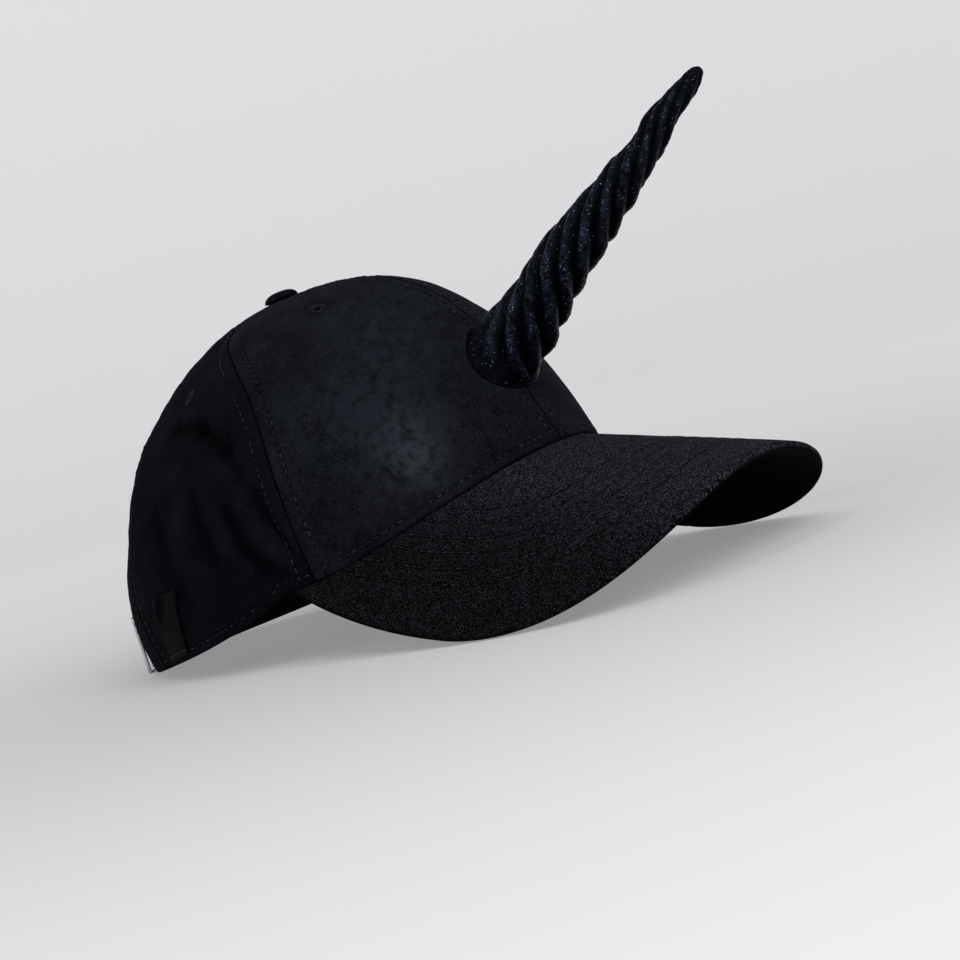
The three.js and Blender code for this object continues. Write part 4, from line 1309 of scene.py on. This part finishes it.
def cloth_material(name, dark, light, speckle, ribs=110, weave_depth=0.0002, sheen=0.008,
                   unevenness=0.7, speckle_share=0.4, specular=0.02, shading_patches=(), sewn=(),
                   patch_scale=55, cells=2.1, shaded_under=False, shade_toned=False):
    """Twill cloth: patches of nap, yarn ribs and fine bright specks, a painted glint where yarns would
    catch light.
    """
    material, tree, shader, link = new_material(name, 0.88, specular)
    cloth = node(tree, "UVMap", uv_map="cloth").outputs[0]
    where = object_place(tree)
    weave = node(tree, "Group", {
        "Place": cloth, "Ribs per dm": ribs, "Unevenness": unevenness, "Cells per rib": cells,
    }, node_tree=TWILL)
    nap = node(tree, "Group", {"Patch scale": patch_scale, "Place": where}, node_tree=NAP)
    base = colour_ramp(tree, nap.outputs["Patches"], (0.0, dark), (1.0, light))
    # Painted highlight and shade patches, and patches of nap, laid over the base colour
    for centre, reach, tone in shading_patches:
        patch = node(tree, "Group", {
            "Centre": tuple(place(centre)), "Reach": reach, "Place": where}, node_tree=PATCH_MASK)
        base = over(tree, patch.outputs["Mask"], base, tone)
    amount = maths(tree, "MULTIPLY", weave.outputs["Speckle"], speckle_share, clamp=True)
    # Painted shading: a tone per point darkens the creases and lightens the ridges of the crown, and
    # darkens the visor's sides
    if shade_toned:
        tone = mark(tree, "painted_shading_tone")
        base = node(tree, "VectorMath", {0: base, "Scale": tone}, operation="SCALE").outputs[0]
        amount = maths(tree, "MULTIPLY", amount, tone, clamp=True)
    if sewn:
        lines = [
            node(tree, "Group", {"Reach": reach, "Gap": mark(tree, key)}, node_tree=SEWN).outputs["Line"]
            for key, reach in sewn]
        line = maths(tree, "MAXIMUM", *lines)
        amount = maths(tree, "MULTIPLY", amount, maths(tree, "SUBTRACT", 1.0, line))
        base = over(tree, maths(tree, "MULTIPLY", line, SEWN_DARKNESS), base, SEWN_SHADE)
    # Painted shade: the visor's whole underside takes the dark shade colour and loses its specks
    if shaded_under:
        under = mark(tree, "under_side")
        shown = maths(tree, "SUBTRACT", 1.0, maths(tree, "MULTIPLY", under, SEWN_DARKNESS))
        amount = maths(tree, "MULTIPLY", amount, shown)
        base = over(tree, under, base, SEWN_SHADE)
    link(over(tree, amount, base, speckle), shader["Base Color"])
    add_bump(tree, shader, weave.outputs["Height"], 0.55, weave_depth)
    shader["Sheen Weight"].default_value = sheen
    shader["Sheen Roughness"].default_value = 0.45
    shader["Sheen Tint"].default_value = (0.75, 0.84, 1.0, 1)
    return material


def thread_material(name, colour, bright):
    """Twisted thread: noise paints some stitches pale as glints, most stay dark."""
    material, tree, shader, link = new_material(name, 0.55, 0.12)
    where = object_place(tree)
    grain = node(tree, "TexNoise", {"Vector": where, "Scale": 420, "Detail": 2})
    link(colour_ramp(tree, grain.outputs["Fac"], (0.42, colour), (0.72, bright)), shader["Base Color"])
    ply = node(tree, "TexNoise", {"Vector": where, "Scale": 3000})
    add_bump(tree, shader, ply.outputs["Fac"], 1.0, 0.0001)
    return material


def glitter_group():
    """Fine flakes: each lies at its own angle, and only some of them are bright. Where the crest mark is
    high, more flakes are bright and a pale painted sheen lies over them.
    """
    group, start, end, link, sums = new_group("glitter_flakes", {
        "Place": None, "Scale": 2600.0, "Tilt": 0.8, "Crest": 0.0,
    }, ["Normal", "Tone", "Bright", "Painted sheen"])
    cells = node(group, "TexVoronoi", {"Vector": start["Place"], "Scale": start["Scale"]}, feature="F1")
    colour = cells.outputs["Color"]
    centred = node(group, "VectorMath", {0: colour, 1: (0.5, 0.5, 0.5)}, operation="SUBTRACT")
    tilted = node(group, "VectorMath", {0: centred.outputs[0], "Scale": start["Tilt"]}, operation="SCALE")
    face = node(group, "NewGeometry").outputs["Normal"]
    summed = node(group, "VectorMath", {0: face, 1: tilted.outputs[0]}, operation="ADD")
    normal = node(group, "VectorMath", {0: summed.outputs[0]}, operation="NORMALIZE")
    link(normal.outputs[0], end["Normal"])
    parts = node(group, "SeparateColor", {0: colour}).outputs
    link(parts[1], end["Tone"])
    clusters = node(group, "TexNoise", {"Vector": start["Place"], "Scale": 330, "Detail": 3})
    cluster = spread(group, clusters.outputs["Fac"], 0.36, 0.66)
    # More flakes are bright on the marked crests: part of the painted highlight
    limit = sums("SUBTRACT", 0.994, sums("MULTIPLY", start["Crest"], 0.028))
    link(sums("MULTIPLY", sums("GREATER_THAN", parts[2], limit), cluster), end["Bright"])
    link(sums("MULTIPLY", start["Crest"], cluster), end["Painted sheen"])
    return group


def glitter_material():
    material, tree, shader, link = new_material("black_glitter", 0.36, 0.05)
    flakes = node(tree, "Group", {
        "Place": object_place(tree), "Scale": 2900, "Tilt": 0.55, "Crest": mark(tree, "crest"),
    }, node_tree=glitter_group())
    normal, tone, bright, painted_sheen = flakes.outputs
    base = colour_ramp(
        tree, tone, (0.0, (0.0004, 0.0006, 0.0011)), (0.7, (0.0010, 0.0014, 0.0027)),
        (1.0, (0.0030, 0.0041, 0.0078)))
    # Painted highlight: a pale sheen laid over the crests
    sheened_base = over(tree, maths(tree, "MULTIPLY", painted_sheen, tone), base, (0.030, 0.042, 0.075))
    link(over(tree, bright, sheened_base, (0.20, 0.25, 0.37)), shader["Base Color"])
    link(maths(tree, "ADD", maths(tree, "MULTIPLY", bright, 0.7), 0.03), shader["Metallic"])
    link(normal, shader["Normal"])
    return material


def metal_material():
    material, tree, shader, link = new_material("nickel_slide", 0.3, 0.5, 1.0)
    stretch = node(tree, "Mapping", {"Vector": object_place(tree), "Scale": (60, 60, 3000)})
    streaks = node(tree, "TexNoise", {"Vector": stretch.outputs[0], "Scale": 1.0, "Detail": 4})
    grain = streaks.outputs["Fac"]
    tones = (0.3, (0.42, 0.43, 0.45)), (0.7, (0.68, 0.69, 0.71))
    link(colour_ramp(tree, grain, *tones), shader["Base Color"])
    link(spread(tree, grain, 0.0, 1.0, 0.2, 0.42), shader["Roughness"])
    return material


def satin_material():
    material, tree, shader, link = new_material("satin_tag", 0.5, 0.03)
    cloth = node(tree, "UVMap", uv_map="cloth").outputs[0]
    x, y = node(tree, "SeparateXYZ", {0: cloth}).outputs[:2]
    threads = maths(tree, "SINE", maths(tree, "MULTIPLY", y, 2 * math.pi * 280))
    fill = maths(tree, "SINE", maths(tree, "MULTIPLY", x, 2 * math.pi * 360))
    weave = maths(
        tree, "ADD", maths(tree, "MULTIPLY", threads, 0.35), maths(tree, "MULTIPLY", fill, 0.15))
    nap = node(tree, "Group", {"Patch scale": 120, "Place": object_place(tree)}, node_tree=NAP)
    tones = (0.0, (0.0006, 0.0006, 0.0010)), (1.0, (0.0022, 0.0022, 0.0034))
    link(colour_ramp(tree, nap.outputs["Patches"], *tones), shader["Base Color"])
    add_bump(tree, shader, maths(tree, "ADD", weave, 0.5), 0.4, 0.00006)
    return material


def paint(piece, material):
    piece.data.materials.clear()
    piece.data.materials.append(material)
    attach(piece, "root")


# Making the cap

# Tone patches over the crown cloth. On the front right panel the pale ones are a painted highlight and
# the dark ones painted shade; the two on the left front and back panels are patches of the nap.
LIGHT_AND_TONE_PATCHES = [
    (meridian(-40.5, 0.165), 0.016, (0.0270, 0.0315, 0.0400)),
    (meridian(-39.0, 0.11), 0.011, (0.0360, 0.0400, 0.0490)),
    (meridian(-52.0, 0.27), 0.020, (0.0110, 0.0132, 0.0185)),
    (meridian(-30.0, 0.46), 0.034, (0.0110, 0.0134, 0.0188)),
    (meridian(-17.5, 0.13), 0.020, (0.0008, 0.0009, 0.0013)),
    (meridian(-58.0, 0.40), 0.014, (0.0010, 0.0012, 0.0018)),
    (meridian(34.0, 0.20), 0.032, (0.0120, 0.0140, 0.0185)),
    (meridian(150.0, 0.62), 0.030, (0.0080, 0.0096, 0.0135)),
]
SEAM_LINES = [("seam_gap", 0.42), ("stitch_gap", 0.42)]
front_cloth = cloth_material(
    "brushed_cotton_front", (0.0013, 0.0016, 0.0024), (0.0074, 0.0089, 0.0122), (0.032, 0.036, 0.046),
    shading_patches=LIGHT_AND_TONE_PATCHES, sewn=SEAM_LINES, patch_scale=80, shade_toned=True)
button_cloth = cloth_material(
    "brushed_cotton_button", (0.0016, 0.0020, 0.0029), (0.0066, 0.0080, 0.0110), (0.028, 0.032, 0.041),
    patch_scale=80)
# Painted shade: the side and back panels take a darker copy of the front cloth, as they turn away from
# the lamps
side_cloth = cloth_material(
    "brushed_cotton_side", (0.0014, 0.0017, 0.0026), (0.0043, 0.0052, 0.0074), (0.018, 0.021, 0.028),
    sheen=0.006, speckle_share=0.3, specular=0.015, shading_patches=LIGHT_AND_TONE_PATCHES, sewn=SEAM_LINES, shade_toned=True)
visor_twill = cloth_material(
    "visor_twill", (0.0005, 0.0006, 0.0008), (0.0014, 0.0016, 0.0022), (0.130, 0.139, 0.163),
    weave_depth=0.00010, sheen=0.002, unevenness=0.45, speckle_share=0.66,
    sewn=[("seam_gap", 0.8), ("stitch_gap", 0.55)], cells=2.9, shaded_under=True, shade_toned=True)
band_cloth = cloth_material(
    "cotton_webbing", (0.0026, 0.0029, 0.0038), (0.0050, 0.0055, 0.0070), (0.018, 0.020, 0.024),
    ribs=90, weave_depth=0.0004, sheen=0.01, unevenness=0.35, specular=0.08)
black_thread = thread_material("black_thread", (0.0022, 0.0024, 0.0030), (0.040, 0.043, 0.050))
visor_thread = thread_material("visor_thread", (0.0012, 0.0013, 0.0016), (0.038, 0.040, 0.046))
ring_thread = thread_material("ring_thread", (0.0018, 0.0021, 0.0029), (0.0052, 0.0060, 0.0082))

seam_rows, rim_rows = [], []
for panel_entry in PANELS:
    panel = panel_cloth(*panel_entry)
    cloth = front_cloth if "front" in panel["name"] else side_cloth
    paint(panel["piece"], cloth)
    outer = panel["outer"]
    for side in ("left", "right"):
        row = crossing_rows(outer, panel[side], panel[side + "_row"], 0)
        seam_rows.append(trimmed(row, 2.0, 8.0))
    if "back" not in panel["name"]:
        row = crossing_rows(outer, panel["low"], RIM_STITCH, 1)
        rim_rows.append(trimmed(row, 1.2, 1.2))
    spot, facing = cut_eyelet(panel)
    ring = eyelet_piece(panel["name"].replace("cloth", "eyelet"), spot + facing * 0.12, facing)
    paint(ring, ring_thread)

rows = seam_rows + rim_rows + [arch_row(1), arch_row(-1)]
paint(stitch_rows("crown_stitching", rows, lift=0.16), black_thread)
paint(make_visor(), visor_twill)
rows = [visor_row(margin) for margin in VISOR_ROW_MARGINS]
paint(stitch_rows("visor_stitching", rows, lift=0.06), visor_thread)
paint(make_strap(), band_cloth)
paint(make_band(), band_cloth)
tag, tag_row = make_label()
paint(tag, satin_material())
paint(stitch_rows("tag_stitching", [tag_row], lift=0.12, pitch=2.4), black_thread)
paint(make_button(), button_cloth)
paint(make_buckle(), metal_material())
paint(make_horn(), glitter_material())


# Floor, light and camera

def make_backdrop():
    """A pale floor that curves up into walls all round."""
    flat, curve, wall = 1.5, 2.0, 3.2
    points = [(0, 0, 0), (flat, 0, 0)]
    for step in range(1, 13):
        turn = step / 12 * math.pi / 2
        points.append((flat + curve * math.sin(turn), 0, curve - curve * math.cos(turn)))
    points.append((flat + curve, 0, wall))
    mesh = bpy.data.meshes.new("studio_floor")
    mesh.from_pydata(points, [(i, i + 1) for i in range(len(points) - 1)], [])
    floor = added("studio_floor", mesh)
    select_only(floor)
    bpy.ops.object.mode_set(mode="EDIT")
    bpy.ops.mesh.select_all(action="SELECT")
    bpy.ops.mesh.spin(steps=96, angle=2 * math.pi, center=(0, 0, 0), axis=(0, 0, 1))
    bpy.ops.mesh.select_all(action="SELECT")
    bpy.ops.mesh.remove_doubles(threshold=0.0005)
    bpy.ops.mesh.normals_make_consistent(inside=True)
    bpy.ops.object.mode_set(mode="OBJECT")
    mesh.shade_smooth()
    material, tree, shader, link = new_material("pale_paper", 0.85, 0.2)
    # Painted shadow: the paper is darker round the cap, and it glows like a lamp, less round the cap too
    away = node(tree, "VectorMath", {0: object_place(tree)}, operation="LENGTH")
    reach = maths(tree, "DIVIDE", away.outputs["Value"], flat + curve)
    link(colour_ramp(tree, reach, (0.03, (0.40, 0.40, 0.405)), (0.20, (0.56, 0.56, 0.565))),
         shader["Base Color"])
    glow = (0.03, (0.25, 0.25, 0.255)), (0.11, (0.32, 0.32, 0.325)), (0.95, (0.52, 0.52, 0.53))
    link(colour_ramp(tree, reach, *glow), shader["Emission Color"])
    # The paper looks a little brighter than it lights the cap
    seen = node(tree, "LightPath").outputs["Is Camera Ray"]
    link(maths(tree, "ADD", maths(tree, "MULTIPLY", seen, 0.35), 0.65), shader["Emission Strength"])
    mesh.materials.append(material)


def towards(azimuth, elevation):
    """The direction in which something stands, with the azimuth counted from the cap's front."""
    level = math.cos(elevation)
    return np.array([math.sin(azimuth) * level, -math.cos(azimuth) * level, math.sin(elevation)])


def soft_light(name, azimuth, elevation, distance, size, power):
    light = bpy.data.lights.new(name, "AREA")
    light.shape = "SQUARE"
    light.size = size
    light.energy = power
    lamp = added(name, light)
    away = Vector(towards(math.radians(azimuth), math.radians(elevation)))
    lamp.location = away * distance + Vector((0, 0, 0.08))
    lamp.rotation_mode = "QUATERNION"
    lamp.rotation_quaternion = away.to_track_quat("Z", "Y")


def make_camera():
    ahead = -towards(CAMERA_AZIMUTH, CAMERA_ELEVATION)
    spot = np.array([0, 0, 50.0]) - ahead * CAMERA_DISTANCE
    level = unit(np.cross(ahead, [0, 0, 1]))
    rise = np.cross(level, ahead)
    c, s = math.cos(CAMERA_ROLL), math.sin(CAMERA_ROLL)
    right, up = c * level + s * rise, -s * level + c * rise
    aim = unit(ahead - CAMERA_ACROSS / CAMERA_FOCAL * right + CAMERA_UP / CAMERA_FOCAL * up)
    right = unit(right - aim * (right @ aim))
    up = np.cross(right, aim)
    data = bpy.data.cameras.new("photo_view")
    data.sensor_width = SENSOR_WIDTH
    data.lens = CAMERA_FOCAL * SENSOR_WIDTH / IMAGE_SIZE
    data.clip_start, data.clip_end = 0.05, 30
    camera = added("photo_view", data)
    matrix = Matrix(np.stack([turned(v) for v in (right, up, -aim)], -1)).to_4x4()
    matrix.translation = Vector(place(spot))
    camera.matrix_world = matrix
    bpy.context.scene.camera = camera


make_backdrop()
make_camera()
soft_light("key_box", -22, 40, 1.6, 1.0, 13.5)
soft_light("top_box", -40, 80, 1.7, 1.5, 4)
soft_light("glint_box", -72, 50, 1.6, 0.16, 2.2)
world = bpy.data.worlds.new("studio")
bpy.context.scene.world = world
world.use_nodes = True
sky = world.node_tree.nodes["Background"].inputs
sky["Color"].default_value = (0.93, 0.95, 1.0, 1)
sky["Strength"].default_value = 0.12
bpy.context.scene.view_settings.view_transform = "Standard"
